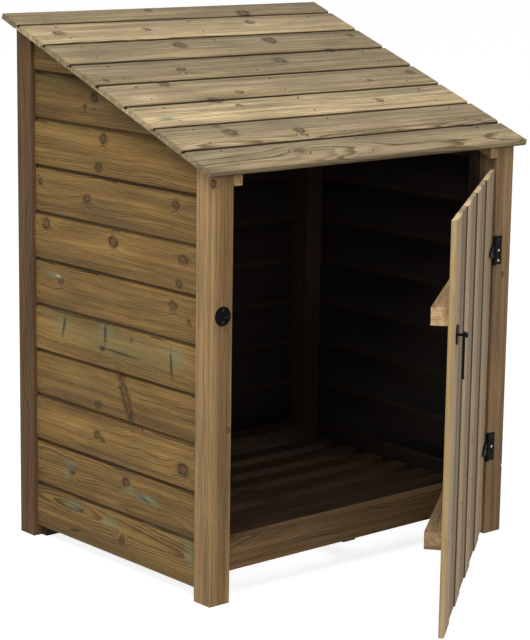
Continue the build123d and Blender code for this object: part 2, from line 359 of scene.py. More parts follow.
GREEN_STAIN = shown(90, 94, 62)
BLUE_STAIN = shown(106, 122, 96)
DARK_MARK = shown(34, 30, 28)
PALE_MARK = shown(196, 178, 146)
# Painted shade laid on the inner faces of the wall and roof boards
INNER_PAINTED_SHADE = shown(20, 11, 6)
# Dark brown of the joints, for dirt in them and painted shade in their recesses
JOINT_DIRT_AND_SHADE = shown(50, 35, 20)
# Painted shade for the front face of the front left post
PAINTED_POST_SHADE = shown(84, 60, 34)
EDGE_TINT = shown(158, 132, 82)


@dataclass(frozen=True)
class Face:
    """Where a grain pattern lies, and how its boards differ."""

    lay: Lay
    board: float = 0.0
    seed: float = 0.0
    numbered: bool = False
    tones_and_light: tuple[float, ...] = ()


@dataclass(frozen=True)
class Timber:
    """Finish of sawn or planed softwood."""

    early: Colour
    late: Colour
    knot: Colour
    ring: float = 0.0042
    contrast: float = 0.7
    tone: float = 0.1
    knots: float = 0.3
    green: float = 0.1
    blotch: float = 0.3
    end: float = 0.75
    roughness: float = 0.78
    relief: float = 0.0005
    saw: float = 0.0
    # Darkening of the joints by depth in the recess, for dirt and painted shade: start, end and strength
    groove_dirt_and_shade: tuple[float, float, float] = (0.0015, 0.0055, 0.8)
    # Painted light and shade across each board: factors of its colour at its lower edge and 0.1 m up from it
    painted_light_across: tuple[float, float] = (1.0, 1.0)
    # Whether the inner faces of the boards get painted shade
    paints_inner_shade: bool = False

    def material(
        self, name: str, face: Face, knots: Sequence[Knot] = (), stains: Sequence[Stain] = ()
    ) -> bpy.types.Material:
        """Builds the material of one face or set of boards.

        Args:
            name: Name of the material.
            face: Where the grain lies.
            knots: Knots at chosen places.
            stains: Stains, cracks and painted shade at chosen places.

        Returns:
            The material.
        """
        material, nodes = start_material(name)
        spot = nodes.add("ShaderNodeTexCoord").outputs
        turn = tuple(face.lay.matrix.to_euler())
        settings = {"Location": tuple(face.lay.origin), "Rotation": turn}
        kind = "ShaderNodeMapping"
        local = nodes.add(kind, {"Vector": spot["Object"], **settings}, vector_type="TEXTURE").outputs[0]
        inputs = {"Vector": spot["Normal"], "Rotation": turn}
        facing = nodes.add(kind, inputs, vector_type="TEXTURE").outputs[0]
        board = self._board(nodes, local, face)
        number = nodes.math("ADD", board, face.seed)
        chance = nodes.add("ShaderNodeTexWhiteNoise", {"W": number}, noise_dimensions="1D").outputs["Color"]
        lot = nodes.add("ShaderNodeSeparateColor", {0: chance}).outputs
        wood = nodes.add("ShaderNodeGroup", {
            "Place": local, "Lot": chance, "Early": self.early, "Late": self.late, "Knot": self.knot,
            "Ring": self.ring, "Contrast": self.contrast, "Saw": self.saw, "Blotch": self.blotch,
            **self._knots(nodes, local, lot, knots),
        }, node_tree=pine_group())
        lightness = nodes.ramp(lot[0], 0.0, 1.0, 1.0 - self.tone, 1.0 + self.tone)
        colour = nodes.dim(wood.outputs["Colour"], lightness)
        colour = self._tones(nodes, colour, board, face)
        looks = nodes.add("ShaderNodeSeparateXYZ", {0: facing}).outputs
        cut = nodes.ramp(nodes.math("ABSOLUTE", looks[0]), 0.6, 0.9)
        if face.numbered:
            colour = self._joint_dirt_and_board_shade(nodes, colour, cut)
        colour = nodes.dim(colour, nodes.mix_value(cut, 1.0, self.end))
        cloud = nodes.noise(nodes.vector("MULTIPLY", local, (2.5, 9.0, 9.0)), 1.6, 3.0)
        greened = nodes.math("MULTIPLY", nodes.ramp(cloud, 0.5, 0.72), self.green)
        colour = nodes.mix(greened, colour, GREEN_STAIN)
        for stain in stains:
            colour = self._stain(nodes, local, colour, stain)
        # Painted shade: faces that look into the store are mixed towards a near-black brown in place of the
        # shade inside it
        if self.paints_inner_shade:
            colour = nodes.mix(nodes.ramp(looks[2], -0.8, -0.5, 1.0, 0.0), colour, INNER_PAINTED_SHADE)
        height = wood.outputs["Height"]
        bump = nodes.add("ShaderNodeBump", {"Height": height, "Distance": self.relief, "Strength": 0.9})
        rough = nodes.ramp(height, 0.0, 1.0, self.roughness - 0.08, self.roughness + 0.1)
        shader = nodes.add("ShaderNodeBsdfPrincipled", {
            "Base Color": colour, "Roughness": rough, "Normal": bump.outputs[0], "Specular IOR Level": 0.25,
        })
        nodes.add("ShaderNodeOutputMaterial", {"Surface": shader.outputs[0]})
        return material

    def _joint_dirt_and_board_shade(self, nodes: Nodes, colour: Socket, cut: Socket) -> Socket:
        """Colour darkened in the joints, for dirt and painted shade in their recesses, with painted light and
        shade across each board.

        Args:
            nodes: The material's nodes.
            colour: Colour so far.
            cut: 1 on the boards' ends and 0 elsewhere.

        Returns:
            The new colour.
        """
        section = nodes.add("ShaderNodeAttribute", attribute_name="section").outputs["Vector"]
        over, depth, joint = nodes.add("ShaderNodeSeparateXYZ", {0: section}).outputs
        start, end, strength = self.groove_dirt_and_shade
        whole = nodes.math("SUBTRACT", 1.0, cut)
        # Points deep in a joint's recess darken towards dark brown, as dirt and painted shade together
        share = nodes.product(nodes.ramp(depth, start, end, 0.0, strength), joint, whole)
        return nodes.mix(share, nodes.dim(colour, nodes.ramp(over, 0.0, 0.1, *self.painted_light_across)), JOINT_DIRT_AND_SHADE)

    @staticmethod
    def _board(nodes: Nodes, local: Socket, face: Face) -> Socket | float:
        """Number of the board at a point, from its attribute or from its place across the face.

        Args:
            nodes: The material's nodes.
            local: Point in the face's frame.
            face: Where the boards are.

        Returns:
            The number, 0 on a face of one board.
        """
        if face.numbered:
            return nodes.add("ShaderNodeAttribute", attribute_name="board").outputs["Fac"]
        if face.board:
            across = nodes.add("ShaderNodeSeparateXYZ", {0: local}).outputs[1]
            return nodes.math("FLOOR", nodes.math("DIVIDE", across, face.board))
        return 0.0

    @staticmethod
    def _tones(nodes: Nodes, colour: Socket, board: Socket | float, face: Face) -> Socket:
        """Colour made lighter or darker board by board.

        Args:
            nodes: The material's nodes.
            colour: Colour so far.
            board: Number of the board.
            face: Where the tones are.

        Returns:
            The new colour.
        """
        if not face.tones_and_light:
            return colour
        count = len(face.tones_and_light)
        share = nodes.math("DIVIDE", nodes.math("ADD", board, 0.5), float(count))
        steps = nodes.add("ShaderNodeValToRGB", {0: share})
        steps.color_ramp.interpolation = "CONSTANT"
        stops = steps.color_ramp.elements
        highest = max(face.tones_and_light)
        for number, tone in enumerate(face.tones_and_light):
            stop = stops[0] if number == 0 else stops.new(number / count)
            stop.color = (tone / highest,) * 3 + (1.0,)
        stops.remove(stops[-1])
        return nodes.mix(1.0, nodes.dim(colour, highest), steps.outputs[0], "MULTIPLY")

    def _knots(
        self, nodes: Nodes, local: Socket, lot: Sockets, knots: Sequence[Knot]
    ) -> dict[str, Socket | float]:
        """Core, rim and halo of the chosen knots and of the chance ones.

        Args:
            nodes: The material's nodes.
            local: Point in the face's frame.
            lot: Chance values of the board.
            knots: Knots at chosen places.

        Returns:
            The share of knot wood, of the dark rim and of how far the grain bends round it.
        """
        marks: dict[str, Socket | float] = {"Core": 0.0, "Rim": 0.0, "Halo": 0.0}
        inputs = {"Vector": local, "Scale": 60.0, "Detail": 3.0}
        wave = nodes.add("ShaderNodeTexNoise", inputs).outputs["Color"]
        sway = nodes.vector("SUBTRACT", wave, (0.5, 0.5, 0.5))
        moved = nodes.vector("ADD", local, nodes.scaled(sway, 0.014))
        if self.knots:
            inputs = {"Place": moved, "Share": self.knots, "Number": lot[1]}
            spread = nodes.add("ShaderNodeGroup", inputs, node_tree=chance_knot_group())
            marks = {label: spread.outputs[label] for label in marks}
        for knot in knots:
            one = nodes.add("ShaderNodeGroup", {
                "Place": moved, "Centre": (knot.along, knot.across, knot.out), "Turn": knot.turn,
                "Size": (knot.length, knot.width, knot.depth), **marks,
            }, node_tree=knot_group())
            marks = {label: one.outputs[label] for label in marks}
        return marks

    @staticmethod
    def _stain(nodes: Nodes, local: Socket, colour: Socket, stain: Stain) -> Socket:
        """Colour with one patch mixed over it; stains, cracks and painted shade are all laid so.

        Args:
            nodes: The material's nodes.
            local: Point in the face's frame.
            colour: Colour so far.
            stain: The patch.

        Returns:
            The new colour.
        """
        ragged = nodes.noise(nodes.vector("MULTIPLY", local, (20.0, 55.0, 1.0)), 2.0, 4.0, 0.65)
        moved = nodes.vector("SUBTRACT", local, (stain.along, stain.across, 0.0))
        inputs = {"Vector": moved, "Angle": -stain.turn}
        turned = nodes.add("ShaderNodeVectorRotate", inputs, rotation_type="Z_AXIS")
        flat = nodes.vector("MULTIPLY", turned.outputs[0], (1.0 / stain.length, 1.0 / stain.width, 0.0))
        edge = nodes.product(nodes.math("SUBTRACT", ragged, 0.5), stain.ragged)
        reach = nodes.math("SUBTRACT", nodes.vector("LENGTH", flat), edge)
        return nodes.mix(nodes.ramp(reach, 0.15, 1.15, stain.strength, 0.0), colour, stain.colour)


def knot_marks(nodes: Nodes, reach: Socket) -> tuple[Socket, Socket, Socket]:
    """Core, rim and halo of one knot.

    Args:
        nodes: Where the nodes go.
        reach: Distance from the knot's centre over its own size.

    Returns:
        The three shares.
    """
    core = nodes.ramp(reach, 0.8, 1.0, 1.0, 0.0)
    rim = nodes.product(nodes.ramp(reach, 0.5, 0.95), nodes.ramp(reach, 1.0, 1.35, 1.0, 0.0))
    return core, rim, nodes.ramp(reach, 0.2, 3.6, 1.0, 0.0)


@cache
def knot_group() -> bpy.types.NodeTree:
    """Group that adds one knot at a chosen place to those before it.

    Returns:
        The group, made once.
    """
    nodes, start, result = start_group("ShaderNodeTree", "Placed knot", (
        ("Place", VECTOR, None), ("Centre", VECTOR, None), ("Size", VECTOR, (0.01, 0.01, 1.0)),
        ("Turn", FLOAT, 0.0), ("Core", FLOAT, 0.0), ("Rim", FLOAT, 0.0), ("Halo", FLOAT, 0.0),
    ), (("Core", FLOAT), ("Rim", FLOAT), ("Halo", FLOAT)))
    given = start.outputs
    moved = nodes.vector("SUBTRACT", given["Place"], given["Centre"])
    inputs = {"Vector": moved, "Angle": nodes.math("MULTIPLY", given["Turn"], -1.0)}
    turned = nodes.add("ShaderNodeVectorRotate", inputs, rotation_type="Z_AXIS").outputs[0]
    reach = nodes.vector("LENGTH", nodes.vector("DIVIDE", turned, given["Size"]))
    core, rim, halo = knot_marks(nodes, reach)
    nodes.link(nodes.math("MAXIMUM", core, given["Core"]), result.inputs["Core"])
    nodes.link(nodes.math("MAXIMUM", rim, given["Rim"]), result.inputs["Rim"])
    nodes.link(nodes.total(halo, given["Halo"]), result.inputs["Halo"])
    return nodes.tree


@cache
def chance_knot_group() -> bpy.types.NodeTree:
    """Group that scatters knots over a board, one or none to a stretch of it.

    Returns:
        The group, made once.
    """
    nodes, start, result = start_group("ShaderNodeTree", "Chance knots", (
        ("Place", VECTOR, None), ("Share", FLOAT, 0.5), ("Number", FLOAT, 0.0),
    ), (("Core", FLOAT), ("Rim", FLOAT), ("Halo", FLOAT)))
    given = start.outputs
    stretch, spread = 0.19, 0.085
    moved = nodes.vector("ADD", given["Place"], nodes.join(nodes.product(given["Number"], 37.0)))
    scaled = nodes.vector("MULTIPLY", moved, (1 / stretch, 1 / spread, 0.0))
    inputs = {"Vector": scaled, "Scale": 1.0, "Randomness": 0.85}
    cells = nodes.add("ShaderNodeTexVoronoi", inputs, voronoi_dimensions="2D")
    apart = nodes.vector("SUBTRACT", scaled, cells.outputs["Position"])
    lot = nodes.add("ShaderNodeSeparateColor", {0: cells.outputs["Color"]}).outputs
    size = nodes.ramp(lot[1], 0.0, 1.0, 0.004, 0.009)
    metres = nodes.vector("LENGTH", nodes.vector("MULTIPLY", apart, (stretch * 0.8, spread, 0.0)))
    present = nodes.math("LESS_THAN", lot[0], given["Share"])
    for label, mark in zip(("Core", "Rim", "Halo"), knot_marks(nodes, nodes.math("DIVIDE", metres, size))):
        nodes.link(nodes.product(mark, present), result.inputs[label])
    return nodes.tree


def late_wood(nodes: Nodes, given: Sockets, own: Socket) -> Socket:
    """Growth rings round a pith beside the board, bent round its knots.

    Args:
        nodes: Where the nodes go.
        given: Inputs of the group.
        own: Point moved by the board's chance values.

    Returns:
        The share of dark late wood.
    """
    lot = nodes.add("ShaderNodeSeparateColor", {0: given["Lot"]}).outputs
    wave = {"Vector": nodes.vector("MULTIPLY", own, (1.3, 4.0, 4.0)), "Scale": 1.5, "Detail": 2.0}
    sway = nodes.vector("SUBTRACT", nodes.add("ShaderNodeTexNoise", wave).outputs["Color"], (0.5, 0.5, 0.5))
    swayed = nodes.vector("ADD", given["Place"], nodes.vector("MULTIPLY", sway, (0.0, 0.05, 0.05)))
    sideways, behind = nodes.ramp(lot[1], 0.0, 1.0, -0.03, 0.13), nodes.ramp(lot[2], 0.0, 1.0, -0.16, -0.03)
    pith = nodes.join(0.0, sideways, behind)
    spoke = nodes.vector("MULTIPLY", nodes.vector("SUBTRACT", swayed, pith), (0.0, 1.0, 1.0))
    radius = nodes.total(nodes.vector("LENGTH", spoke), nodes.product(given["Halo"], -0.013))
    jitter = nodes.product(nodes.noise(nodes.vector("MULTIPLY", own, (6.0, 60.0, 60.0)), 1.0, 3.0, 0.6), 1.5)
    phase = nodes.total(nodes.math("DIVIDE", radius, given["Ring"]), jitter)
    share = nodes.math("FRACT", phase)
    late = nodes.product(nodes.ramp(share, 0.25, 0.9), nodes.ramp(share, 0.93, 1.0, 1.0, 0.0))
    year = nodes.add("ShaderNodeTexWhiteNoise", {"W": nodes.math("FLOOR", phase)}, noise_dimensions="1D")
    return nodes.product(late, nodes.ramp(year.outputs["Value"], 0.0, 1.0, 0.3, 1.0))


def grain_colour(nodes: Nodes, given: Sockets, own: Socket, late: Socket, fibre: Socket) -> Socket:
    """Colour of clear wood, streaked along the grain and blotched.

    Args:
        nodes: Where the nodes go.
        given: Inputs of the group.
        own: Point moved by the board's chance values.
        late: Share of late wood.
        fibre: Pattern of the fibres.

    Returns:
        The colour.
    """
    flow = nodes.noise(nodes.vector("MULTIPLY", own, (2.0, 75.0, 75.0)), 1.0, 4.0, 0.6)
    patch = nodes.noise(nodes.vector("MULTIPLY", own, (4.0, 20.0, 20.0)), 1.0, 5.0, 0.62)
    colour = nodes.mix(nodes.product(late, given["Contrast"]), given["Early"], given["Late"])
    colour = nodes.dim(colour, nodes.ramp(flow, 0.3, 0.7, 1.2, 0.7))
    colour = nodes.dim(colour, nodes.ramp(fibre, 0.3, 0.75, 1.08, 0.82))
    lighter = nodes.math("ADD", 1.0, given["Blotch"])
    darker = nodes.math("SUBTRACT", 1.0, given["Blotch"])
    wash = nodes.add("ShaderNodeMapRange", {0: patch, 1: 0.3, 2: 0.7, 3: darker, 4: lighter})
    return nodes.dim(colour, wash.outputs[0])


def knot_colour(nodes: Nodes, given: Sockets, own: Socket, colour: Socket, fibre: Socket) -> Socket:
    """Colour with the knots' darker surround, ringed wood and broken rim over it.

    Args:
        nodes: Where the nodes go.
        given: Inputs of the group.
        own: Point moved by the board's chance values.
        colour: Colour of clear wood.
        fibre: Pattern of the fibres.

    Returns:
        The new colour.
    """
    colour = nodes.mix(nodes.product(nodes.ramp(given["Halo"], 0.45, 0.85), 0.55), colour, given["Late"])
    iris = nodes.math("FRACT", nodes.product(nodes.total(given["Halo"], nodes.product(fibre, 0.15)), 13.0))
    wood = nodes.mix(0.35, given["Late"], given["Early"])
    inside = nodes.mix(nodes.ramp(iris, 0.0, 0.7, 0.7, 0.15), wood, given["Knot"])
    colour = nodes.mix(given["Core"], colour, inside)
    broken = nodes.ramp(nodes.noise(own, 70.0, 2.0), 0.35, 0.6, 0.25, 0.95)
    return nodes.mix(nodes.product(given["Rim"], broken), colour, given["Knot"])


@cache
def pine_group() -> bpy.types.NodeTree:
    """Group that colours softwood as a solid, with its rings, fibres and knots.

    Returns:
        The group, made once.
    """
    nodes, start, result = start_group("ShaderNodeTree", "Pine", (
        ("Place", VECTOR, None), ("Lot", COLOUR, (0.5, 0.5, 0.5, 1.0)), ("Early", COLOUR, None),
        ("Late", COLOUR, None), ("Knot", COLOUR, None), ("Ring", FLOAT, 0.004), ("Contrast", FLOAT, 0.5),
        ("Core", FLOAT, 0.0), ("Rim", FLOAT, 0.0), ("Halo", FLOAT, 0.0), ("Saw", FLOAT, 0.0),
        ("Blotch", FLOAT, 0.3),
    ), (("Colour", COLOUR), ("Height", FLOAT)))
    given = start.outputs
    own = nodes.vector("ADD", given["Place"], nodes.scaled(given["Lot"], 23.0))
    late = late_wood(nodes, given, own)
    fibre = nodes.noise(nodes.vector("MULTIPLY", own, (9.0, 420.0, 420.0)), 1.0, 3.0, 0.62)
    colour = knot_colour(nodes, given, own, grain_colour(nodes, given, own, late, fibre), fibre)
    kerf = nodes.noise(nodes.vector("MULTIPLY", own, (260.0, 9.0, 9.0)), 1.0, 2.0, 0.5)
    parts = (
        nodes.product(late, 0.35), nodes.product(fibre, 0.4), nodes.product(given["Core"], 0.3),
        nodes.product(kerf, given["Saw"]),
    )
    nodes.link(colour, result.inputs["Colour"])
    nodes.link(nodes.total(*parts), result.inputs["Height"])
    return nodes.tree


@dataclass(frozen=True)
class Iron:
    """Finish of the black powder-coated ironwork."""

    colour: Colour = (0.004, 0.0035, 0.004)
    dust: Colour = (0.010, 0.007, 0.007)
    roughness: float = 0.6

    def material(self, name: str = "black_iron_finish") -> bpy.types.Material:
        """Builds the material, a fine orange-peel coat that is dusty in patches.

        Args:
            name: Name of the material.

        Returns:
            The material.
        """
        material, nodes = start_material(name)
        place = nodes.add("ShaderNodeTexCoord").outputs["Object"]
        peel = nodes.noise(place, 900.0, 2.0)
        dust = nodes.ramp(nodes.noise(place, 120.0, 4.0, 0.7), 0.45, 0.75)
        bump = nodes.add("ShaderNodeBump", {"Height": peel, "Distance": 0.0001, "Strength": 0.5})
        shader = nodes.add("ShaderNodeBsdfPrincipled", {
            "Base Color": nodes.mix(dust, self.colour, self.dust), "Normal": bump.outputs[0],
            "Roughness": nodes.ramp(dust, 0.0, 1.0, self.roughness, self.roughness + 0.25),
            "Specular IOR Level": 0.08,
        })
        nodes.add("ShaderNodeOutputMaterial", {"Surface": shader.outputs[0]})
        return material


@dataclass(frozen=True)
class Metal:
    """Finish of nails and plated screws, dulled in patches."""

    colour: Colour
    dull: Colour
    roughness: float = 0.4
    metallic: float = 0.8

    def material(self, name: str) -> bpy.types.Material:
        """Builds the material, duller in patches.

        Args:
            name: Name of the material.

        Returns:
            The material.
        """
        material, nodes = start_material(name)
        place = nodes.add("ShaderNodeTexCoord").outputs["Object"]
        patch = nodes.ramp(nodes.noise(place, 300.0, 3.0), 0.4, 0.7)
        shader = nodes.add("ShaderNodeBsdfPrincipled", {
            "Base Color": nodes.mix(patch, self.colour, self.dull), "Metallic": self.metallic,
            "Roughness": nodes.ramp(patch, 0.0, 1.0, self.roughness, 0.75),
        })
        nodes.add("ShaderNodeOutputMaterial", {"Surface": shader.outputs[0]})
        return material


ROOF_TIMBER = Timber(
    early=shown(172, 152, 117), late=shown(108, 90, 62), knot=shown(58, 46, 36), contrast=1.12, tone=0.04,
    knots=0.0, green=0.15, blotch=0.3, end=0.85, groove_dirt_and_shade=(0.001, 0.003, 0.85), paints_inner_shade=True,
)
WALL_TIMBER = Timber(
    early=shown(137, 107, 58), late=shown(82, 57, 27), knot=shown(44, 32, 20), contrast=1.1, tone=0.03,
    knots=0.06, green=0.2, blotch=0.3, end=0.6, groove_dirt_and_shade=(0.0034, 0.0078, 0.7), painted_light_across=(1.06, 0.9),
    paints_inner_shade=True,
)
POST_TIMBER = Timber(
    early=shown(163, 131, 90), late=shown(102, 75, 43), knot=shown(46, 34, 24), ring=0.0034, contrast=0.85,
    tone=0.03, knots=0.1, green=0.12, blotch=0.2, saw=0.25,
)
DARK_POST_TIMBER = replace(POST_TIMBER, early=shown(96, 70, 45), late=shown(60, 40, 24))
RED_POST_TIMBER = replace(POST_TIMBER, early=shown(146, 118, 84), late=shown(94, 66, 42))
RAFTER_TIMBER = replace(POST_TIMBER, end=1.3)
SILL_TIMBER = replace(POST_TIMBER, early=shown(112, 86, 54), late=shown(70, 50, 28))
DOOR_TIMBER = Timber(
    early=shown(172, 148, 116), late=shown(112, 90, 62), knot=shown(58, 44, 32), contrast=0.75, tone=0.05,
    knots=0.1, green=0.1, blotch=0.18, end=1.25, groove_dirt_and_shade=(0.0001, 0.0007, 0.95),
)
LEDGE_TIMBER = Timber(
    early=shown(148, 121, 88), late=shown(104, 80, 54), knot=shown(58, 44, 32), contrast=0.8, knots=0.1,
    green=0.05, saw=0.3, end=1.36,
)
# Bars inside the store: softwood whose colours are darkened to near black-brown as painted shade for the
# inside of the store
PAINTED_SHADE_INNER_TIMBER = Timber(
    early=shown(58, 40, 24), late=shown(34, 22, 13), knot=shown(18, 12, 8), contrast=0.7, knots=0.15,
    green=0.0, saw=0.35,
)
NAIL_METAL = Metal(shown(92, 84, 72), shown(54, 46, 38), 0.5)
BLACK_METAL = Metal((0.006, 0.005, 0.005), (0.012, 0.010, 0.009), 0.6, 0.0)
ZINC_METAL = Metal(shown(214, 208, 196), shown(150, 144, 132), 0.35)


@dataclass(frozen=True)
class Section:
    """Sizes of one lapped board's outline, across it and out of its face."""

    cover: float
    thickness: float
    lip: float
    lap: float
    play: float
    nose: float
    shoulder: float
    rounded: bool = False
    clearance: float = 0.0006
    arc_parts: int = 6

    def outline(self) -> list[tuple[float, float]]:
        """Goes round the outline, with its cove or its rounded shoulder as an arc.

        Returns:
            The points, across the board and out of its face.
        """
        tongue = self.lip + self.play
        tongue_end = self.cover + self.lap - self.clearance
        radius = (self.shoulder**2 + tongue**2) / (2 * self.shoulder)
        if self.rounded:
            centre = (self.cover - radius, -tongue)
            start, end = 0.0, math.atan2(tongue, radius - self.shoulder)
        else:
            centre = (self.cover - self.shoulder + radius, 0.0)
            start, end = -math.atan2(tongue, self.shoulder - radius), -math.pi
        points = [(self.nose, 0.0), (0.0, -self.nose), (0.0, -self.lip), (self.lap, -self.lip)]
        points += [(self.lap, -self.thickness), (tongue_end, -self.thickness), (tongue_end, -tongue)]
        for part in range(self.arc_parts + 1):
            angle = start + (end - start) * part / self.arc_parts
            points.append((centre[0] + radius * math.cos(angle), centre[1] + radius * math.sin(angle)))
        return points

    def curve(self, name: str) -> bpy.types.Object:
        """Makes the outline as a closed flat curve.

        Args:
            name: Name of the curve.

        Returns:
            The curve's object, in the scene.
        """
        data = bpy.data.curves.new(name, "CURVE")
        data.dimensions = "2D"
        data.fill_mode = "NONE"
        points = self.outline()
        spline = data.splines.new("POLY")
        spline.points.add(len(points) - 1)
        for point, (across, out) in zip(spline.points, points):
            point.co = (across, out, 0.0, 1.0)
        spline.use_cyclic_u = True
        curve = bpy.data.objects.new(name, data)
        bpy.context.scene.collection.objects.link(curve)
        return curve


class BoardTree:
    """Geometry tree of lapped boards side by side, each a little bowed and tilted, cut to a sloping limit."""

    INPUTS = (
        ("Section", OBJECT, None), ("Count", WHOLE, 8), ("Parts", WHOLE, 24), ("Cover", FLOAT, 0.11),
        ("First cover", FLOAT, 0.11), ("Length", FLOAT, 1.0), ("Thickness", FLOAT, 0.014),
        ("Lip", FLOAT, 0.0064), ("Lap", FLOAT, 0.008), ("Set back", FLOAT, 0.0), ("Bow", FLOAT, 0.0),
        ("Tilt", FLOAT, 0.0), ("Ragged", FLOAT, 0.0), ("Limit", FLOAT, 9.0), ("Limit rise", FLOAT, 0.0),
        ("Limit lean", FLOAT, 0.0),
        ("Ease", FLOAT, 0.0), ("Joints", FLOAT, 0.0), ("Seed", WHOLE, 1), ("Finish", MATERIAL, None),
    )
    MERGE_DISTANCE = 0.00001

    def __init__(self) -> None:
        """Starts the tree and reads what each point says of its board."""
        outputs = (("Boards", GEOMETRY),)
        group = start_group("GeometryNodeTree", "Lapped boards", self.INPUTS, outputs)
        self.nodes, given, self.result = group
        self.size = given.outputs
        nodes, size = self.nodes, self.size
        place = nodes.add("GeometryNodeInputPosition").outputs[0]
        self.axes = nodes.add("ShaderNodeSeparateXYZ", {0: place}).outputs
        named = nodes.add("GeometryNodeInputNamedAttribute", {"Name": "board"}, data_type="FLOAT")
        self.number = nodes.math("ROUND", named.outputs["Attribute"])
        self.odd = nodes.math("MODULO", self.number, 2.0)
        self.low = nodes.product(self.number, size["Cover"])
        self.over = nodes.math("SUBTRACT", self.axes[1], self.low)
        self.later = nodes.math("GREATER_THAN", self.number, 0.5)
        self.upper = nodes.math("GREATER_THAN", self.over, nodes.product(size["Cover"], 0.5))
        self.extra = nodes.math("SUBTRACT", size["First cover"], size["Cover"])

    def _chance(self, shift: int) -> Socket:
        """Chance value of the board from 0 to 1, one for each shift of the seed."""
        inputs = {"ID": self.number, "Seed": self.nodes.math("ADD", self.size["Seed"], float(shift))}
        return self.nodes.add("FunctionNodeRandomValue", inputs, data_type="FLOAT").outputs[1]

    def _keep(self, geometry: Socket, name: str, value: Socket, domain: str, kind: str) -> Socket:
        """Keeps a value on a geometry as a named attribute.

        Args:
            geometry: What the value is kept on.
            name: Name of the attribute.
            value: The value.
            domain: Blender's name of what carries it, such as a point.
            kind: Blender's name of its type.

        Returns:
            The geometry with the attribute.
        """
        inputs = {"Geometry": geometry, "Name": name, "Value": value}
        settings = {"domain": domain, "data_type": kind}
        return self.nodes.add("GeometryNodeStoreNamedAttribute", inputs, **settings).outputs[0]

    def _board(self) -> Socket:
        """Sweeps the section along a line of unit length.

        Returns:
            One board, along the first axis.
        """
        nodes, axes = self.nodes, self.axes
        line = nodes.add("GeometryNodeCurvePrimitiveLine", {"End": (0.0, 0.0, 1.0)}).outputs[0]
        line = nodes.add("GeometryNodeResampleCurve", {"Curve": line, "Count": self.size["Parts"]}).outputs[0]
        section = nodes.add("GeometryNodeObjectInfo", {"Object": self.size["Section"]}).outputs["Geometry"]
        sweep = {"Curve": line, "Profile Curve": section, "Fill Caps": True}
        board = nodes.add("GeometryNodeCurveToMesh", sweep).outputs[0]
        turned = nodes.join(axes[2], axes[0], axes[1])
        return nodes.add("GeometryNodeSetPosition", {"Geometry": board, "Position": turned}).outputs[0]

    def _row(self) -> Socket:
        """Sets the boards side by side and keeps each point's board and its place in the section.

        Returns:
            The boards, real and not yet cut.
        """
        nodes, size = self.nodes, self.size
        offset = nodes.join(0.0, size["Cover"], 0.0)
        starts = nodes.add("GeometryNodeMeshLine", {"Count": size["Count"], "Offset": offset}).outputs[0]
        laid = {"Points": starts, "Instance": self._board()}
        boards = nodes.add("GeometryNodeInstanceOnPoints", laid).outputs[0]
        index = nodes.add("GeometryNodeInputIndex").outputs[0]
        boards = self._keep(boards, "board", index, "INSTANCE", "FLOAT")
        boards = nodes.add("GeometryNodeRealizeInstances", {"Geometry": boards}).outputs[0]
        inner = nodes.math("LESS_THAN", self.number, nodes.math("SUBTRACT", size["Count"], 1.5))
        joint = nodes.mix_value(self.upper, self.later, inner)
        section = nodes.join(self.over, nodes.product(self.axes[2], -1.0), joint)
        return self._keep(boards, "section", section, "POINT", "FLOAT_VECTOR")

    def _across(self) -> Socket:
        """Places points across the boards, with the first board's cover, its filled lap and the open joints.

        Returns:
            The place across.
        """
        nodes, size, axes = self.nodes, self.size, self.axes
        shift = nodes.product(self.extra, nodes.math("MAXIMUM", self.later, self.upper))
        in_lap = nodes.math("LESS_THAN", self.over, nodes.product(size["Lap"], 1.05))
        behind = nodes.math("LESS_THAN", axes[2], nodes.product(size["Lip"], -0.95))
        filled = nodes.product(nodes.math("SUBTRACT", 1.0, self.later), in_lap, behind)
        across = nodes.total(axes[1], shift, nodes.product(filled, self.over, -1.0))
        opened = nodes.product(size["Joints"], self.later, nodes.math("SUBTRACT", 1.0, self.odd))
        at_edge = nodes.math("LESS_THAN", self.over, size["Lap"])
        near_edge = nodes.product(at_edge, nodes.math("SUBTRACT", 1.0, behind))
        return nodes.total(across, nodes.product(opened, near_edge))

    def _along(self) -> Socket:
        """Places points along the boards, each board ending where its lower edge meets the limit.

        Returns:
            The place along.
        """
        nodes, size = self.nodes, self.size
        low = nodes.total(self.low, nodes.product(self.later, self.extra))
        crossing = nodes.math("DIVIDE", nodes.math("SUBTRACT", low, size["Limit"]), size["Limit rise"])
        crossing = nodes.math("MINIMUM", nodes.math("MAXIMUM", crossing, 0.0), size["Length"])
        rising = nodes.math("GREATER_THAN", size["Limit rise"], 0.0)
        falling = nodes.math("LESS_THAN", size["Limit rise"], 0.0)
        start = nodes.total(nodes.product(rising, crossing), nodes.product(size["Ragged"], self._chance(1)))
        short = nodes.product(falling, nodes.math("SUBTRACT", crossing, size["Length"]))
        end = nodes.total(size["Length"], short, nodes.product(size["Ragged"], -1.0, self._chance(2)))
        return nodes.total(start, nodes.product(self.axes[0], nodes.math("SUBTRACT", end, start)))

    def _out(self) -> Socket:
        """Places points out of the face, bowed, tilted and set back, with the board's back left flat.

        Returns:
            The place out.
        """
        nodes, size, axes = self.nodes, self.size, self.axes
        sagged = nodes.product(axes[0], nodes.math("SUBTRACT", 1.0, axes[0]), 4.0)
        bow = nodes.product(size["Bow"], sagged, self._chance(3), -1.0)
        lean = nodes.math("DIVIDE", self.over, size["Cover"], clamp=True)
        tilt = nodes.product(size["Tilt"], lean, self._chance(4), -1.0)
        at_front = nodes.math("GREATER_THAN", axes[2], nodes.product(size["Thickness"], -0.95))
        back_step = nodes.product(self.odd, size["Set back"], at_front, -1.0)
        return nodes.total(axes[2], back_step, nodes.product(at_front, nodes.total(bow, tilt)))

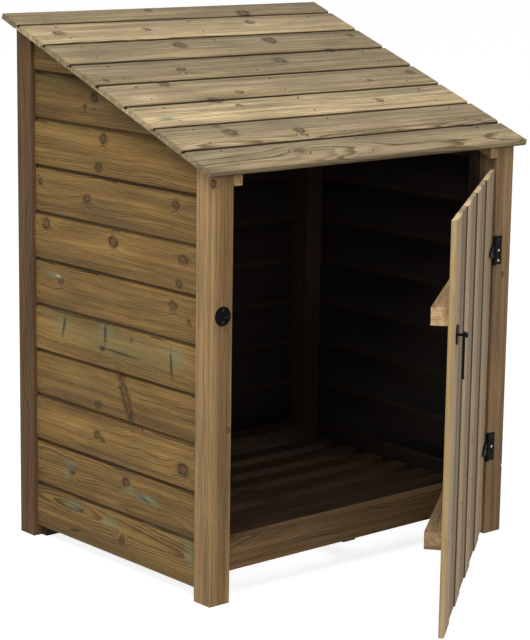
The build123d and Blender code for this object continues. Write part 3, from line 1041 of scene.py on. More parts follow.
    def build(self) -> bpy.types.NodeTree:
        """Lays the boards, cuts them to the limit and gives them their finish.

        Returns:
            The finished tree.
        """
        nodes, size = self.nodes, self.size
        along, out = self._along(), self._out()
        rise, lean = nodes.product(size["Limit rise"], along), nodes.product(size["Limit lean"], out)
        eased = nodes.math("MAXIMUM", nodes.math("ADD", size["Ease"], self.axes[2]), 0.0)
        limit = nodes.math("SUBTRACT", nodes.total(size["Limit"], rise, lean), eased)
        place = nodes.join(along, nodes.math("MINIMUM", self._across(), limit), out)
        boards = nodes.add("GeometryNodeSetPosition", {"Geometry": self._row(), "Position": place}).outputs[0]
        merged = {"Geometry": boards, "Distance": self.MERGE_DISTANCE}
        boards = nodes.add("GeometryNodeMergeByDistance", merged).outputs[0]
        finished = {"Geometry": boards, "Material": size["Finish"]}
        boards = nodes.add("GeometryNodeSetMaterial", finished).outputs[0]
        nodes.link(boards, self.result.inputs["Boards"])
        return nodes.tree


@cache
def board_tree() -> bpy.types.NodeTree:
    """The tree of lapped boards, made once."""
    return BoardTree().build()


class Fastener(Enum):
    """Kinds of fastener whose heads show."""

    NAIL = "nail"
    SCREW = "screw"
    BLACK_SCREW = "black_screw"


@dataclass(frozen=True)
class Head:
    """Sizes of a fastener's head, with its foot on the surface it holds."""

    radius: float
    rise: float
    crossed: bool = True
    sides: int = 16
    arm: float = 0.0022
    slot: float = 0.0007
    recess: float = 0.0011
    sunk: float = 0.0006

    def mesh_object(self) -> bpy.types.Object:
        """Makes the head as a closed mesh, a low dome with a cross recess where it is a screw.

        Returns:
            The head's object, in the scene.
        """
        form = bmesh.new()
        rings = []
        for share, height in ((1.0, -self.sunk), (1.0, self.rise * 0.35), (0.82, self.rise * 0.82)):
            ring = []
            for side in range(self.sides):
                angle = 2 * math.pi * side / self.sides
                reach = self.radius * share
                ring.append(form.verts.new((reach * math.cos(angle), reach * math.sin(angle), height)))
            rings.append(ring)
        form.faces.new(reversed(rings[0]))
        for lower, upper in zip(rings, rings[1:]):
            for side in range(self.sides):
                following = (side + 1) % self.sides
                form.faces.new((lower[side], lower[following], upper[following], upper[side]))
        if self.crossed:
            self._cross(form, rings[-1])
        else:
            form.faces.new(rings[-1])
        bmesh.ops.recalc_face_normals(form, faces=form.faces)
        mesh = bpy.data.meshes.new("fastener_head")
        form.to_mesh(mesh)
        form.free()
        head = bpy.data.objects.new(mesh.name, mesh)
        bpy.context.scene.collection.objects.link(head)
        return head

    def _cross(self, form: bmesh.types.BMesh, rim: list) -> None:
        """Closes the top with a cross-shaped recess.

        Args:
            form: The head so far.
            rim: Ring of points round its top.
        """
        arm, slot = self.arm, self.slot
        corners = (
            (arm, -slot), (arm, slot), (slot, slot), (slot, arm), (-slot, arm), (-slot, slot),
            (-arm, slot), (-arm, -slot), (-slot, -slot), (-slot, -arm), (slot, -arm), (slot, -slot),
        )
        top = [form.verts.new((x, y, self.rise)) for x, y in corners]
        floor = [form.verts.new((x * 0.8, y * 0.8, self.rise - self.recess)) for x, y in corners]
        count = len(corners)
        edges = [form.edges.new((top[corner], top[(corner + 1) % count])) for corner in range(count)]
        edges += [form.edges.get((rim[side], rim[(side + 1) % self.sides])) for side in range(self.sides)]
        bmesh.ops.triangle_fill(form, edges=edges, use_beauty=True)
        for corner in range(count):
            following = (corner + 1) % count
            form.faces.new((top[following], top[corner], floor[corner], floor[following]))
        form.faces.new(floor)


@cache
def head_tree() -> bpy.types.NodeTree:
    """Geometry tree that sets a head on each point, facing where the point says and turned by chance.

    Returns:
        The tree, made once.
    """
    nodes, start, result = start_group("GeometryNodeTree", "Fastener heads", (
        ("Points", GEOMETRY, None), ("Head", OBJECT, None), ("Seed", WHOLE, 1), ("Finish", MATERIAL, None),
    ), (("Heads", GEOMETRY),))
    given = start.outputs
    head = nodes.add("GeometryNodeObjectInfo", {"Object": given["Head"]}).outputs["Geometry"]
    named = nodes.add("GeometryNodeInputNamedAttribute", {"Name": "facing"}, data_type="FLOAT_VECTOR")
    facing = nodes.add("FunctionNodeAlignRotationToVector", {"Vector": named.outputs["Attribute"]}, axis="Z")
    lot = nodes.add("FunctionNodeRandomValue", {"Seed": given["Seed"]}, data_type="FLOAT").outputs[1]
    spin = nodes.add("FunctionNodeAxisAngleToRotation", {"Angle": nodes.product(lot, math.tau)}).outputs[0]
    inputs = {"Rotation": facing.outputs[0], "Rotate By": spin}
    turn = nodes.add("FunctionNodeRotateRotation", inputs, rotation_space="LOCAL").outputs[0]
    inputs = {"Points": given["Points"], "Instance": head, "Rotation": turn}
    heads = nodes.add("GeometryNodeInstanceOnPoints", inputs).outputs[0]
    heads = nodes.add("GeometryNodeRealizeInstances", {"Geometry": heads}).outputs[0]
    heads = nodes.add("GeometryNodeSetMaterial", {"Geometry": heads, "Material": given["Finish"]}).outputs[0]
    nodes.link(heads, result.inputs["Heads"])
    return nodes.tree


def grow(
    name: str, tree: bpy.types.NodeTree, values: dict, start: bpy.types.Mesh | None = None
) -> bpy.types.Mesh:
    """Runs a geometry tree and keeps what it makes as a plain mesh.

    Args:
        name: Name of the mesh.
        tree: The geometry tree.
        values: Values of its named inputs.
        start: Mesh that the tree starts from, if any.

    Returns:
        The finished mesh.
    """
    carrier = bpy.data.objects.new(f"{name}_carrier", start or bpy.data.meshes.new(f"{name}_start"))
    bpy.context.scene.collection.objects.link(carrier)
    modifier = carrier.modifiers.new(name, "NODES")
    modifier.node_group = tree
    sockets = {}
    for item in tree.interface.items_tree:
        if item.item_type == "SOCKET" and item.in_out == "INPUT":
            sockets[item.name] = item.identifier
    for label, value in values.items():
        modifier[sockets[label]] = value
    graph = bpy.context.evaluated_depsgraph_get()
    mesh = bpy.data.meshes.new_from_object(carrier.evaluated_get(graph))
    mesh.name = name
    carrier.modifiers.clear()
    bpy.data.objects.remove(carrier)
    return mesh


def add_piece(mesh: bpy.types.Mesh, body: str, nodes: Sequence[str] = ()) -> bpy.types.Object:
    """Puts a finished mesh into the scene as a piece of the store.

    Args:
        mesh: The mesh, in the store's own places.
        body: Body that it moves with.
        nodes: Nodes of the frame that it stands for.

    Returns:
        The piece.
    """
    piece = bpy.data.objects.new(mesh.name, mesh)
    bpy.context.scene.collection.objects.link(piece)
    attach(piece, body)
    if nodes:
        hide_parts(*nodes)
    log.info("added %s: %d faces", mesh.name, len(mesh.polygons))
    return piece


def dress(node: str, material: bpy.types.Material) -> None:
    """Gives a node of the frame its finish.

    Args:
        node: Name of the node.
        material: The finish.
    """
    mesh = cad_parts[node].data
    mesh.materials.clear()
    mesh.materials.append(material)
    log.info("dressed %s", node)


@dataclass(frozen=True)
class Boarding:
    """Sizes of one set of lapped boards that share a section."""

    section: Section
    count: int
    length: float
    first_cover: float
    set_back: float = 0.0
    bow: float = 0.0
    tilt: float = 0.0
    ragged: float = 0.0
    joints: float = 0.0
    limit: float = 9.0
    limit_rise: float = 0.0
    limit_lean: float = 0.0
    seed: int = 1
    parts: int = 24

    def mesh(self, name: str, lay: Lay, finish: bpy.types.Material) -> bpy.types.Mesh:
        """Grows the boards and puts them in their place.

        Args:
            name: Name of the mesh.
            lay: Frame that the boards lie in.
            finish: Material of the boards.

        Returns:
            The boards as one mesh.
        """
        section = self.section
        outline = section.curve(f"{name}_section")
        mesh = grow(name, board_tree(), {
            "Section": outline, "Count": self.count, "Parts": self.parts, "Cover": section.cover,
            "First cover": self.first_cover, "Length": self.length, "Thickness": section.thickness,
            "Lip": section.lip, "Lap": section.lap, "Set back": self.set_back, "Bow": self.bow,
            "Tilt": self.tilt, "Ragged": self.ragged, "Limit": self.limit, "Limit rise": self.limit_rise,
            "Limit lean": self.limit_lean, "Ease": section.nose, "Joints": self.joints, "Seed": self.seed,
            "Finish": finish,
        })
        bpy.data.objects.remove(outline)
        mesh.transform(lay.matrix)
        return mesh


HEADS = {
    Fastener.NAIL: (Head(0.0026, 0.0004, crossed=False, sides=12), NAIL_METAL),
    Fastener.SCREW: (Head(0.0030, 0.0012, arm=0.0017, slot=0.0005), ZINC_METAL),
    Fastener.BLACK_SCREW: (Head(0.0032, 0.0012, arm=0.0018), BLACK_METAL),
}


@dataclass
class Fasteners:
    """Nails and screws, gathered by kind and by the body they move with."""

    first_seed: int = 11
    places: dict[tuple[str, str], list[tuple[Vector, Vector]]] = field(default_factory=dict)

    def put(self, kind: Fastener, body: str, place: Vector, facing: Vector) -> None:
        """Adds one head.

        Args:
            kind: Kind of the head.
            body: Body that it moves with.
            place: Where its foot is.
            facing: Where its top looks.
        """
        self.places.setdefault((kind.value, body), []).append((place, facing))

    def build(self) -> None:
        """Makes one piece for each kind on each body."""
        for number, (kind, body) in enumerate(sorted(self.places)):
            spots = self.places[kind, body]
            head, metal = HEADS[Fastener(kind)]
            points = bpy.data.meshes.new("points")
            points.from_pydata([tuple(place) for place, _ in spots], [], [])
            facing = points.attributes.new("facing", "FLOAT_VECTOR", "POINT")
            for index, (_, direction) in enumerate(spots):
                facing.data[index].vector = direction
            shape = head.mesh_object()
            finish = metal.material(f"{kind}_{body}_finish")
            values = {"Head": shape, "Seed": self.first_seed + number, "Finish": finish}
            mesh = grow(f"{body}_{kind}s", head_tree(), values, points)
            bpy.data.objects.remove(shape)
            add_piece(mesh, body)


WALL_SECTION = Section(
    cover=WALL_COVER, thickness=WALL_THICKNESS, lip=0.0064, lap=0.008, play=0.0028, nose=0.0025,
    shoulder=0.010,
)
ROOF_SECTION = replace(WALL_SECTION, cover=ROOF_COVER, play=0.0006)
DOOR_SECTION = Section(
    cover=(DOOR_RIGHT - DOOR_LEFT) / DOOR_BOARDS, thickness=0.012, lip=0.005, lap=0.006, play=0.0028,
    nose=0.0035, shoulder=0.003, rounded=True,
)


@dataclass
class Walls:
    """Three walls of lapped boards between the posts."""

    # Knots of the left wall: millimetres from the front, millimetres from the ground, size in millimetres
    LEFT_KNOTS = (
        (411, 1086, 11), (373, 997, 12), (392, 931, 11), (621, 871, 7), (597, 774, 13), (336, 767, 14),
        (84, 762, 13), (113, 879, 11), (97, 707, 9), (398, 303, 10), (79, 290, 16), (502, 196, 11),
        (291, 212, 11), (121, 654, 12), (398, 375, 10), (542, 648, 10),
    )
    # Blue stains there: the same two places, then half length and half width in metres, then strength
    LEFT_SOAKED = (
        (215, 190, 0.055, 0.011, 0.75), (280, 196, 0.03, 0.012, 0.4), (506, 207, 0.03, 0.014, 0.4),
        (520, 180, 0.02, 0.02, 0.35), (348, 105, 0.05, 0.02, 0.35), (498, 110, 0.05, 0.016, 0.35),
        (52, 100, 0.03, 0.04, 0.35), (560, 655, 0.05, 0.010, 0.45), (120, 540, 0.05, 0.03, 0.35),
        (367, 556, 0.045, 0.02, 0.35), (535, 545, 0.05, 0.02, 0.35),
    )
    # Dark marks there: the same two places, then half length and half width in metres, then lean in degrees
    LEFT_DARK = (
        (367, 549, 0.034, 0.0075, 88), (377, 512, 0.014, 0.008, 5), (528, 540, 0.034, 0.0075, 74),
        (124, 520, 0.044, 0.0065, 95), (487, 51, 0.03, 0.0045, 10), (222, 188, 0.03, 0.0045, -12),
    )

    fasteners: Fasteners
    start: float = FRONT + POST + WALL_END_GAP
    end: float = BACK - POST - WALL_END_GAP
    left: float = LEFT + POST + WALL_END_GAP
    right: float = RIGHT - POST - WALL_END_GAP
    set_back: float = 0.0022
    bow: float = 0.0006
    tilt: float = 0.0012
    ragged: float = 0.001
    nail_inset: float = 0.011
    nail_rises: tuple[float, ...] = (0.026, 0.084)
    nail_margin: float = 0.012
    left_tones: tuple[float, ...] = (0.83, 0.86, 0.94, 0.92, 0.99, 0.93, 0.99, 0.87, 0.98, 0.68, 0.82)

    @staticmethod
    def roof_underside(y: float) -> float:
        """Height of the roof boards' underside at a place from front to back."""
        top = ROOF_FRONT_HEIGHT + (y - ROOF_FRONT) * math.tan(ROOF_TILT)
        return top - ROOF_THICKNESS / math.cos(ROOF_TILT)

    def build(self) -> None:
        """Builds each wall and nails it at both ends."""
        side = self.end - self.start
        slope = math.tan(ROOF_TILT)
        left = Lay(Vector((LEFT + WALL_RECESS, self.end, WALL_BOTTOM)), -Y_AXIS, Z_AXIS)
        right = Lay(Vector((RIGHT - WALL_RECESS, self.start, WALL_BOTTOM)), Y_AXIS, Z_AXIS)
        back = Lay(Vector((self.right, BACK - WALL_RECESS, WALL_BOTTOM)), -X_AXIS, Z_AXIS)
        high = self.roof_underside(self.end) - WALL_BOTTOM
        low = self.roof_underside(self.start) - WALL_BOTTOM
        top = self.roof_underside(BACK - WALL_RECESS) - WALL_BOTTOM
        knots, stains = self._left_marks()
        self._wall("left", left, side, (high, -slope, 0.0), 3, self.left_tones, knots, stains)
        self._wall("right", right, side, (low, slope, 0.0), 31)
        self._wall("back", back, self.right - self.left, (top, 0.0, slope), 57)

    def _wall(
        self, side: str, lay: Lay, length: float, limit: tuple[float, float, float], seed: int,
        tones_and_light: tuple[float, ...] = (), knots: Sequence[Knot] = (), stains: Sequence[Stain] = (),
    ) -> None:
        """Builds one wall.

        Args:
            side: Its side of the store.
            lay: Frame that its boards lie in.
            length: Length of a whole board.
            limit: Height of the roof at the boards' start, its rise along them and its lean out of them.
            seed: Start of the wall's chance values.
            tones_and_light: Tone of each board.
            knots: Knots at chosen places.
            stains: Stains at chosen places.
        """
        face = Face(lay, WALL_COVER, float(seed), True, tones_and_light)
        finish = WALL_TIMBER.material(f"{side}_wall_finish", face, knots, stains)
        top, rise_along, lean = limit
        boarding = Boarding(
            WALL_SECTION, WALL_COURSES, length, WALL_COVER, set_back=self.set_back, bow=self.bow,
            tilt=self.tilt, ragged=self.ragged, limit=top, limit_rise=rise_along, limit_lean=lean, seed=seed,
        )
        mesh = boarding.mesh(f"{side}_wall_boards", lay, finish)
        add_piece(mesh, STORE, [f"{side}_cladding"])
        for course in range(WALL_COURSES):
            set_back = self.set_back if course % 2 else 0.0
            for along in (self.nail_inset, length - self.nail_inset):
                for rise in self.nail_rises:
                    across = course * WALL_COVER + rise
                    if across < top + rise_along * along - self.nail_margin:
                        self.fasteners.put(Fastener.NAIL, STORE, lay.at(along, across, -set_back), lay.out)

    def _left_marks(self) -> tuple[list[Knot], list[Stain]]:
        """Knots, stains and cracks of the left wall.

        Returns:
            The knots and the stains, placed in the wall's own frame.
        """

        def spot(y: float, z: float) -> tuple[float, float]:
            """Place in the wall's own frame."""
            return self.end - y / 1000, z / 1000 - WALL_BOTTOM

        knots = [Knot(*spot(y, z), size / 1000, size / 1200) for y, z, size in self.LEFT_KNOTS]
        knots.append(Knot(*spot(290, 410), length=0.05, width=0.012, turn=math.radians(-66)))
        stains = []
        for y, z, length, width, strength in self.LEFT_SOAKED:
            stains.append(Stain(*spot(y, z), length, width, BLUE_STAIN, strength))
        stains.append(Stain(*spot(552, 656), 0.012, 0.004, PALE_MARK, 0.6))
        stains.append(Stain(*spot(310, 528), 0.33, 0.05, GREEN_STAIN, 0.4))
        for y, z, length, width, lean in self.LEFT_DARK:
            stains.append(Stain(*spot(y, z), length, width, DARK_MARK, 0.85, math.radians(lean), 1.2))
        stains.append(Stain(*spot(309, 513), 0.09, 0.0042, DARK_MARK, 0.85, math.radians(-2), 0.9))
        return knots, stains


@dataclass
class Roof:
    """Lapped boards up the slope."""

    # Knots: millimetres from the left post's middle and up the slope from the front edge
    KNOTS = (
        (28, 700), (286, 700), (317, 605), (226, 479), (-13, 448), (125, 410), (367, 807), (643, 768),
        (623, 714), (251, 283), (202, 316), (300, 346), (545, 495), (742, 533), (727, 360), (318, 144),
        (667, 255), (127, 163), (244, 55), (113, 200), (889, 387), (878, 612), (603, 607),
    )

    fasteners: Fasteners
    bow: float = 0.0005
    tilt: float = 0.0012
    ragged: float = 0.0015
    nail_inset: float = 0.093
    nail_rises: tuple[float, ...] = (0.022, 0.084)
    nail_margin: float = 0.012
    knot_sizes: tuple[float, ...] = (0.013, 0.009, 0.016, 0.011, 0.007)
    tones_and_light: tuple[float, ...] = (0.8, 0.84, 1.33, 1.02, 0.75, 0.79, 1.22, 0.72)

    @property
    def lay(self) -> Lay:
        """Frame that the boards lie in."""
        return Lay(Vector((ROOF_LEFT, ROOF_FRONT, ROOF_FRONT_HEIGHT)), X_AXIS, UP_SLOPE)

    def build(self) -> None:
        """Builds the boards and nails them over the walls."""
        lay = self.lay
        knots = []
        for number, (x, up) in enumerate(self.KNOTS):
            size = self.knot_sizes[number % len(self.knot_sizes)]
            knots.append(Knot(x / 1000 - ROOF_LEFT, up / 1000, size, size * 0.8))
        stains = (
            Stain(0.011 - ROOF_LEFT, 0.245, 0.026, 0.018, BLUE_STAIN, 0.75),
            Stain(0.026 - ROOF_LEFT, 0.349, 0.05, 0.02, PALE_MARK, 0.5),
        )
        face = Face(lay, ROOF_COVER, 80.0, True, self.tones_and_light)
        finish = ROOF_TIMBER.material("roof_finish", face, knots, stains)
        boarding = Boarding(
            ROOF_SECTION, ROOF_BOARDS, ROOF_WIDTH, FIRST_ROOF_COVER, bow=self.bow, tilt=self.tilt,
            ragged=self.ragged, limit=ROOF_LENGTH, seed=7,
        )
        mesh = boarding.mesh("roof_boards", lay, finish)
        replaced = [f"roof_board_{number}" for number in range(1, ROOF_BOARDS + 1)]
        add_piece(mesh, STORE, replaced)
        for board in range(ROOF_BOARDS):
            low = board * ROOF_COVER - (ROOF_COVER - FIRST_ROOF_COVER if board else 0.0)
            for along in (self.nail_inset, ROOF_WIDTH / 2, ROOF_WIDTH - self.nail_inset):
                for rise in self.nail_rises:
                    if low + rise < ROOF_LENGTH - self.nail_margin:
                        self.fasteners.put(Fastener.NAIL, STORE, lay.at(along, low + rise), lay.out)


@dataclass
class Carcass:
    """Posts, battens, rafters, sill and floor."""

    POSTS = {
        "front_left_post": POST_TIMBER, "front_right_post": RED_POST_TIMBER,
        "back_left_post": DARK_POST_TIMBER, "back_right_post": DARK_POST_TIMBER,
    }
    BEARERS = ("left_floor_bearer", "middle_floor_bearer", "right_floor_bearer")
    # Cracks of the front left post: height, place across and half length in metres
    CRACKS = (
        (0.72, 0.004, 0.22), (0.42, 0.015, 0.16), (0.24, 0.021, 0.18), (0.55, 0.019, 0.10),
        (0.86, -0.004, 0.07),
    )

    fasteners: Fasteners
    crack_width: float = 0.0012
    slat_pitch: float = 0.095
    spaced_slats: int = 5
    first_spaced_slat: float = FRONT + 0.208
    nail_insets: tuple[float, ...] = (0.014, 0.036)

    def build(self) -> None:
        """Dresses each bar along its own grain and nails the slats."""
        self._posts()
        upright = sorted(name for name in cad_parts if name.endswith("_batten"))
        for number, name in enumerate(upright):
            self._bar(name, PAINTED_SHADE_INNER_TIMBER, Z_AXIS, X_AXIS, 120.0 + number)
        for number, name in enumerate(("left_rafter", "right_rafter")):
            self._bar(name, RAFTER_TIMBER, Y_AXIS, Z_AXIS, 140.0 + number)
        for number, name in enumerate(self.BEARERS):
            self._bar(name, PAINTED_SHADE_INNER_TIMBER, Y_AXIS, Z_AXIS, 150.0 + number)
        self._bar("front_sill", SILL_TIMBER, X_AXIS, Z_AXIS, 160.0)
        self._bar("back_bottom_rail", PAINTED_SHADE_INNER_TIMBER, X_AXIS, Z_AXIS, 161.0)
        self._bar("floor_slats", PAINTED_SHADE_INNER_TIMBER, X_AXIS, Y_AXIS, 162.0, self.slat_pitch)
        self._nail_floor()

    def _posts(self) -> None:
        """Dresses the posts, the front left one with its own knots, cracks and painted shade over its front
        face.
        """
        knots = (
            Knot(0.943, -POST / 2, 0.009, 0.006, out=-POST / 2, depth=0.007),
            Knot(0.397, 0.019, 0.006, 0.004),
        )
        cracks = [
            Stain(height, across, length, self.crack_width, DARK_MARK, 0.6, ragged=0.6)
            for height, across, length in self.CRACKS
        ]
        # Painted shade: a dark brown band over the front face of the front left post
        shade = Stain(0.55, 0.006, 2.4, 0.028, PAINTED_POST_SHADE, 0.4, ragged=0.3)
        for number, (post, timber) in enumerate(self.POSTS.items()):
            low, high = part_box(post)
            centre = (Vector(low) + Vector(high)) / 2
            lay = Lay(Vector((centre.x, centre.y, 0.0)), Z_AXIS, X_AXIS)
            marks = (knots, (*cracks, shade)) if post == "front_left_post" else ((), ())
            dress(post, timber.material(f"{post}_finish", Face(lay, seed=101.0 + number), *marks))

    @staticmethod
    def _bar(
        name: str, timber: Timber, along: Vector, across: Vector, seed: float, board: float = 0.0
    ) -> None:
        """Dresses one bar.

        Args:
            name: Its node.
            timber: Its finish.
            along: Direction of its grain.
            across: Direction across the grain.
            seed: Start of its chance values.
            board: Spacing of the boards in the node, if it has several.
        """
        low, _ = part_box(name)
        dress(name, timber.material(f"{name}_finish", Face(Lay(Vector(low), along, across), board, seed)))

    def _nail_floor(self) -> None:
        """Nails each slat to the three bearers."""
        low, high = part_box("floor_slats")
        starts = [low[1]]
        for slat in range(self.spaced_slats):
            starts.append(self.first_spaced_slat + self.slat_pitch * slat)
        for bearer in self.BEARERS:
            near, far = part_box(bearer)
            for start in starts:
                for inset in self.nail_insets:
                    place = Vector(((near[0] + far[0]) / 2, start + inset, high[2]))
                    self.fasteners.put(Fastener.NAIL, STORE, place, Z_AXIS)


@dataclass
class Door:
    """Ledged door of upright boards, standing open."""

    fasteners: Fasteners
    set_back: float = 0.0026
    bow: float = 0.0004
    tilt: float = 0.0006
    ragged: float = 0.0008
    joints: float = 0.0026
    nail_places: tuple[tuple[float, float], ...] = ((0.028, 0.007), (0.078, -0.007))
    # Tone of each board, with painted light on the boards that stand proud and painted shade on the set-back
    # ones
    tones_and_light: tuple[float, ...] = (1.3, 0.78, 1.34, 0.74, 1.28, 0.76, 1.3, 1.05)

    @property
    def lay(self) -> Lay:
        """Frame that the boards lie in, from the free edge's top down."""
        return Lay(door_point(DOOR_LEFT, FRONT, DOOR_TOP), -Z_AXIS, DOOR_ACROSS)

    def build(self) -> None:
        """Builds the boards and dresses their ledges."""
        edge = Stain(0.44, 0.0, 0.8, 0.004, EDGE_TINT, 0.75, ragged=0.0)
        face = Face(self.lay, DOOR_SECTION.cover, 200.0, True, self.tones_and_light)
        finish = DOOR_TIMBER.material("door_finish", face, (), (edge,))
        boarding = Boarding(
            DOOR_SECTION, DOOR_BOARDS, DOOR_TOP - DOOR_BOTTOM, DOOR_SECTION.cover, set_back=self.set_back,
            bow=self.bow, tilt=self.tilt, ragged=self.ragged, joints=self.joints,
            limit=DOOR_RIGHT - DOOR_LEFT, seed=23,
        )
        add_piece(boarding.mesh("door_panel", self.lay, finish), DOOR, ["door_boards"])
        for number, name in enumerate(("upper_door_ledge", "lower_door_ledge")):
            low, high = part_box(name)
            ledge = Lay(Vector((*self.lay.origin.xy, low[2])), DOOR_ACROSS, Z_AXIS)
            dress(name, LEDGE_TIMBER.material(f"{name}_finish", Face(ledge, seed=220.0 + number)))
            self._nail_ledge((low[2] + high[2]) / 2)

    def _nail_ledge(self, middle: float) -> None:
        """Nails each board to one ledge.

        Args:
            middle: Height of the ledge's middle.
        """
        for board in range(DOOR_BOARDS):
            set_back = self.set_back if board % 2 else 0.0
            for over, lower in self.nail_places:
                place = self.lay.at(DOOR_TOP - middle + lower, board * DOOR_SECTION.cover + over, -set_back)
                self.fasteners.put(Fastener.NAIL, DOOR, place, self.lay.out)


@dataclass
class Ironwork:
    """Hinges, hook and catch with their screws."""

    LATCH = ("hook_plate", "cabin_hook", "catch_plate", "catch_eye")

    fasteners: Fasteners
    upper_hinge: float = 0.709
    lower_hinge: float = 0.221
    plate_screw_reach: float = 0.016
    plate_screw_rise: float = 0.025
    strap_screws: tuple[tuple[float, float], ...] = ((0.018, 0.008), (0.018, -0.008), (0.060, 0.0))
    latch_screw_rise: float = 0.0135
    stud_x: float = DOOR_LEFT + 0.060
    stud_height: float = 0.660
    catch_height: float = 0.6532

    def build(self) -> None:
        """Dresses each iron piece and screws it on."""
        iron = Iron().material()
        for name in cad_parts:
            if "hinge" in name or name in self.LATCH:
                dress(name, iron)
        self._screw_hinge(self.upper_hinge, Fastener.SCREW)
        self._screw_hinge(self.lower_hinge, Fastener.BLACK_SCREW)
        for rise in (self.latch_screw_rise, -self.latch_screw_rise):
            place = Vector((0.0, FRONT - LATCH_METAL, self.catch_height + rise))
            self.fasteners.put(Fastener.BLACK_SCREW, STORE, place, -Y_AXIS)
            place = door_point(self.stud_x, FRONT - LATCH_METAL, self.stud_height + rise)
            self.fasteners.put(Fastener.BLACK_SCREW, DOOR, place, DOOR_OUT)

    def _screw_hinge(self, height: float, lowest: Fastener) -> None:
        """Screws one hinge to the post and to the door.

        Args:
            height: Height of the hinge's middle.
            lowest: Kind of the plate's lowest screw.
        """
        rise = self.plate_screw_rise
        for shift, kind in ((rise, Fastener.BLACK_SCREW), (0.0, Fastener.SCREW), (-rise, lowest)):
            place = Vector((HINGE_LINE.x + self.plate_screw_reach, FRONT - HINGE_METAL, height + shift))
            self.fasteners.put(kind, STORE, place, -Y_AXIS)
        for reach, shift in self.strap_screws:
            place = door_point(HINGE_LINE.x - reach, FRONT - HINGE_METAL, height + shift)
            self.fasteners.put(Fastener.BLACK_SCREW, DOOR, place, DOOR_OUT)


@dataclass(frozen=True)
class Lamp:
    """Round soft lamp, aimed at the store's middle."""

    name: str
    place: tuple[float, float, float]
    size: float
    power: float


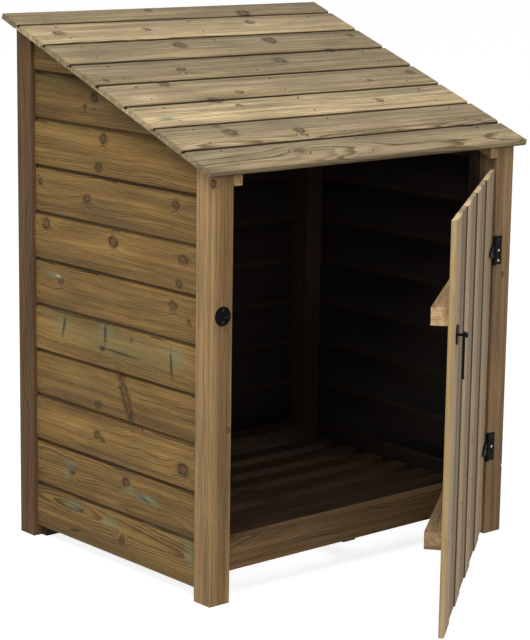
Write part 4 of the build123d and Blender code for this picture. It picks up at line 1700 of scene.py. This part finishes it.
@dataclass
class Studio:
    """Pale floor, soft lamps, white surroundings and the camera."""

    eye: tuple[float, float, float] = (-2.89623, -3.48826, 1.58445)
    yaw: float = math.radians(41.098)
    pitch: float = math.radians(11.747)
    roll: float = math.radians(-0.83)
    lens: float = 120.42
    sensor: float = 36.0
    middle: tuple[float, float, float] = (0.44, 0.32, 0.6)
    floor_reach: float = 40.0
    floor_height: float = -0.0005
    floor_colour: float = 0.55
    shade_colour: float = 0.45
    glow: float = 0.84
    ambient: float = 0.34
    lamps: tuple[Lamp, ...] = (
        Lamp("roof_lamp", (-1.6, -1.2, 4.2), 3.2, 140.0),
        Lamp("front_lamp", (-1.5, -4.6, 2.4), 2.6, 72.0),
        Lamp("left_lamp", (-4.4, 0.4, 2.2), 2.6, 48.0),
    )

    def build(self) -> None:
        """Sets up everything round the store."""
        self._floor()
        self._world()
        self._lamps()
        self._camera()

    @staticmethod
    def _seen(nodes: Nodes) -> Socket:
        """Tells the rays that are seen from those that only light.

        Args:
            nodes: Where the nodes go.

        Returns:
            1 for rays from the camera, or by way of a mirror or glass, and 0 otherwise.
        """
        rays = nodes.add("ShaderNodeLightPath").outputs
        mirrored = nodes.math("MAXIMUM", rays["Is Glossy Ray"], rays["Is Transmission Ray"])
        return nodes.math("MAXIMUM", rays["Is Camera Ray"], mirrored)

    def _floor(self) -> None:
        """Lays the pale floor that takes the store's shadow."""
        mesh = bpy.data.meshes.new("studio_floor")
        reach = self.floor_reach
        around = ((-reach, -reach), (reach, -reach), (reach, reach), (-reach, reach))
        mesh.from_pydata([(x, y, self.floor_height) for x, y in around], [], [(0, 1, 2, 3)])
        floor = bpy.data.objects.new("studio_floor", mesh)
        bpy.context.scene.collection.objects.link(floor)
        material, nodes = start_material("studio_floor_finish")
        plain = nodes.add("ShaderNodeBsdfDiffuse", {"Color": (self.floor_colour,) * 3})
        shade = nodes.add("ShaderNodeBsdfDiffuse", {"Color": (self.shade_colour,) * 3})
        glow = nodes.add("ShaderNodeEmission", {"Color": (1.0, 1.0, 1.0), "Strength": self.glow})
        both = nodes.add("ShaderNodeAddShader", {0: shade.outputs[0], 1: glow.outputs[0]})
        choice = {0: self._seen(nodes), 1: plain.outputs[0], 2: both.outputs[0]}
        pick = nodes.add("ShaderNodeMixShader", choice)
        nodes.add("ShaderNodeOutputMaterial", {"Surface": pick.outputs[0]})
        mesh.materials.append(material)

    def _world(self) -> None:
        """Makes the surroundings white to the eye and dimmer as light."""
        world = bpy.data.worlds.new("studio_world")
        bpy.context.scene.world = world
        world.use_nodes = True
        world.node_tree.nodes.clear()
        nodes = Nodes(world.node_tree)
        strength = nodes.ramp(self._seen(nodes), 0.0, 1.0, self.ambient, 1.0)
        sky = nodes.add("ShaderNodeBackground", {"Color": (1.0, 1.0, 1.0), "Strength": strength})
        nodes.add("ShaderNodeOutputWorld", {"Surface": sky.outputs[0]})

    def _lamps(self) -> None:
        """Hangs the soft lamps, each aimed at the store's middle."""
        for lamp in self.lamps:
            data = bpy.data.lights.new(lamp.name, "AREA")
            data.shape = "DISK"
            data.size = lamp.size
            data.energy = lamp.power
            hung = bpy.data.objects.new(lamp.name, data)
            hung.location = lamp.place
            aim = Vector(self.middle) - Vector(lamp.place)
            hung.rotation_euler = aim.to_track_quat("-Z", "Y").to_euler()
            bpy.context.scene.collection.objects.link(hung)

    def _camera(self) -> None:
        """Sets the camera where the photograph was taken from."""
        level_reach = math.cos(self.pitch)
        ahead = Vector((math.sin(self.yaw), math.cos(self.yaw), 0.0))
        forward = ahead * level_reach - Z_AXIS * math.sin(self.pitch)
        level = Vector((math.cos(self.yaw), -math.sin(self.yaw), 0.0))
        down = forward.cross(level)
        right = level * math.cos(self.roll) + down * math.sin(self.roll)
        up = level * math.sin(self.roll) - down * math.cos(self.roll)
        data = bpy.data.cameras.new("camera")
        data.lens = self.lens
        data.sensor_width = self.sensor
        camera = bpy.data.objects.new("camera", data)
        turn = Matrix((right, up, -forward)).transposed().to_4x4()
        camera.matrix_world = Matrix.Translation(self.eye) @ turn
        bpy.context.scene.collection.objects.link(camera)
        bpy.context.scene.camera = camera


def main() -> None:
    """Builds the studio and dresses the store, part by part."""
    logging.basicConfig(level=logging.INFO, format="%(name)s: %(message)s")
    bpy.context.scene.view_settings.view_transform = "Standard"
    fasteners = Fasteners()
    Studio().build()
    Walls(fasteners).build()
    Roof(fasteners).build()
    Carcass(fasteners).build()
    Door(fasteners).build()
    Ironwork(fasteners).build()
    fasteners.build()


if __name__ == "__main__":
    main()
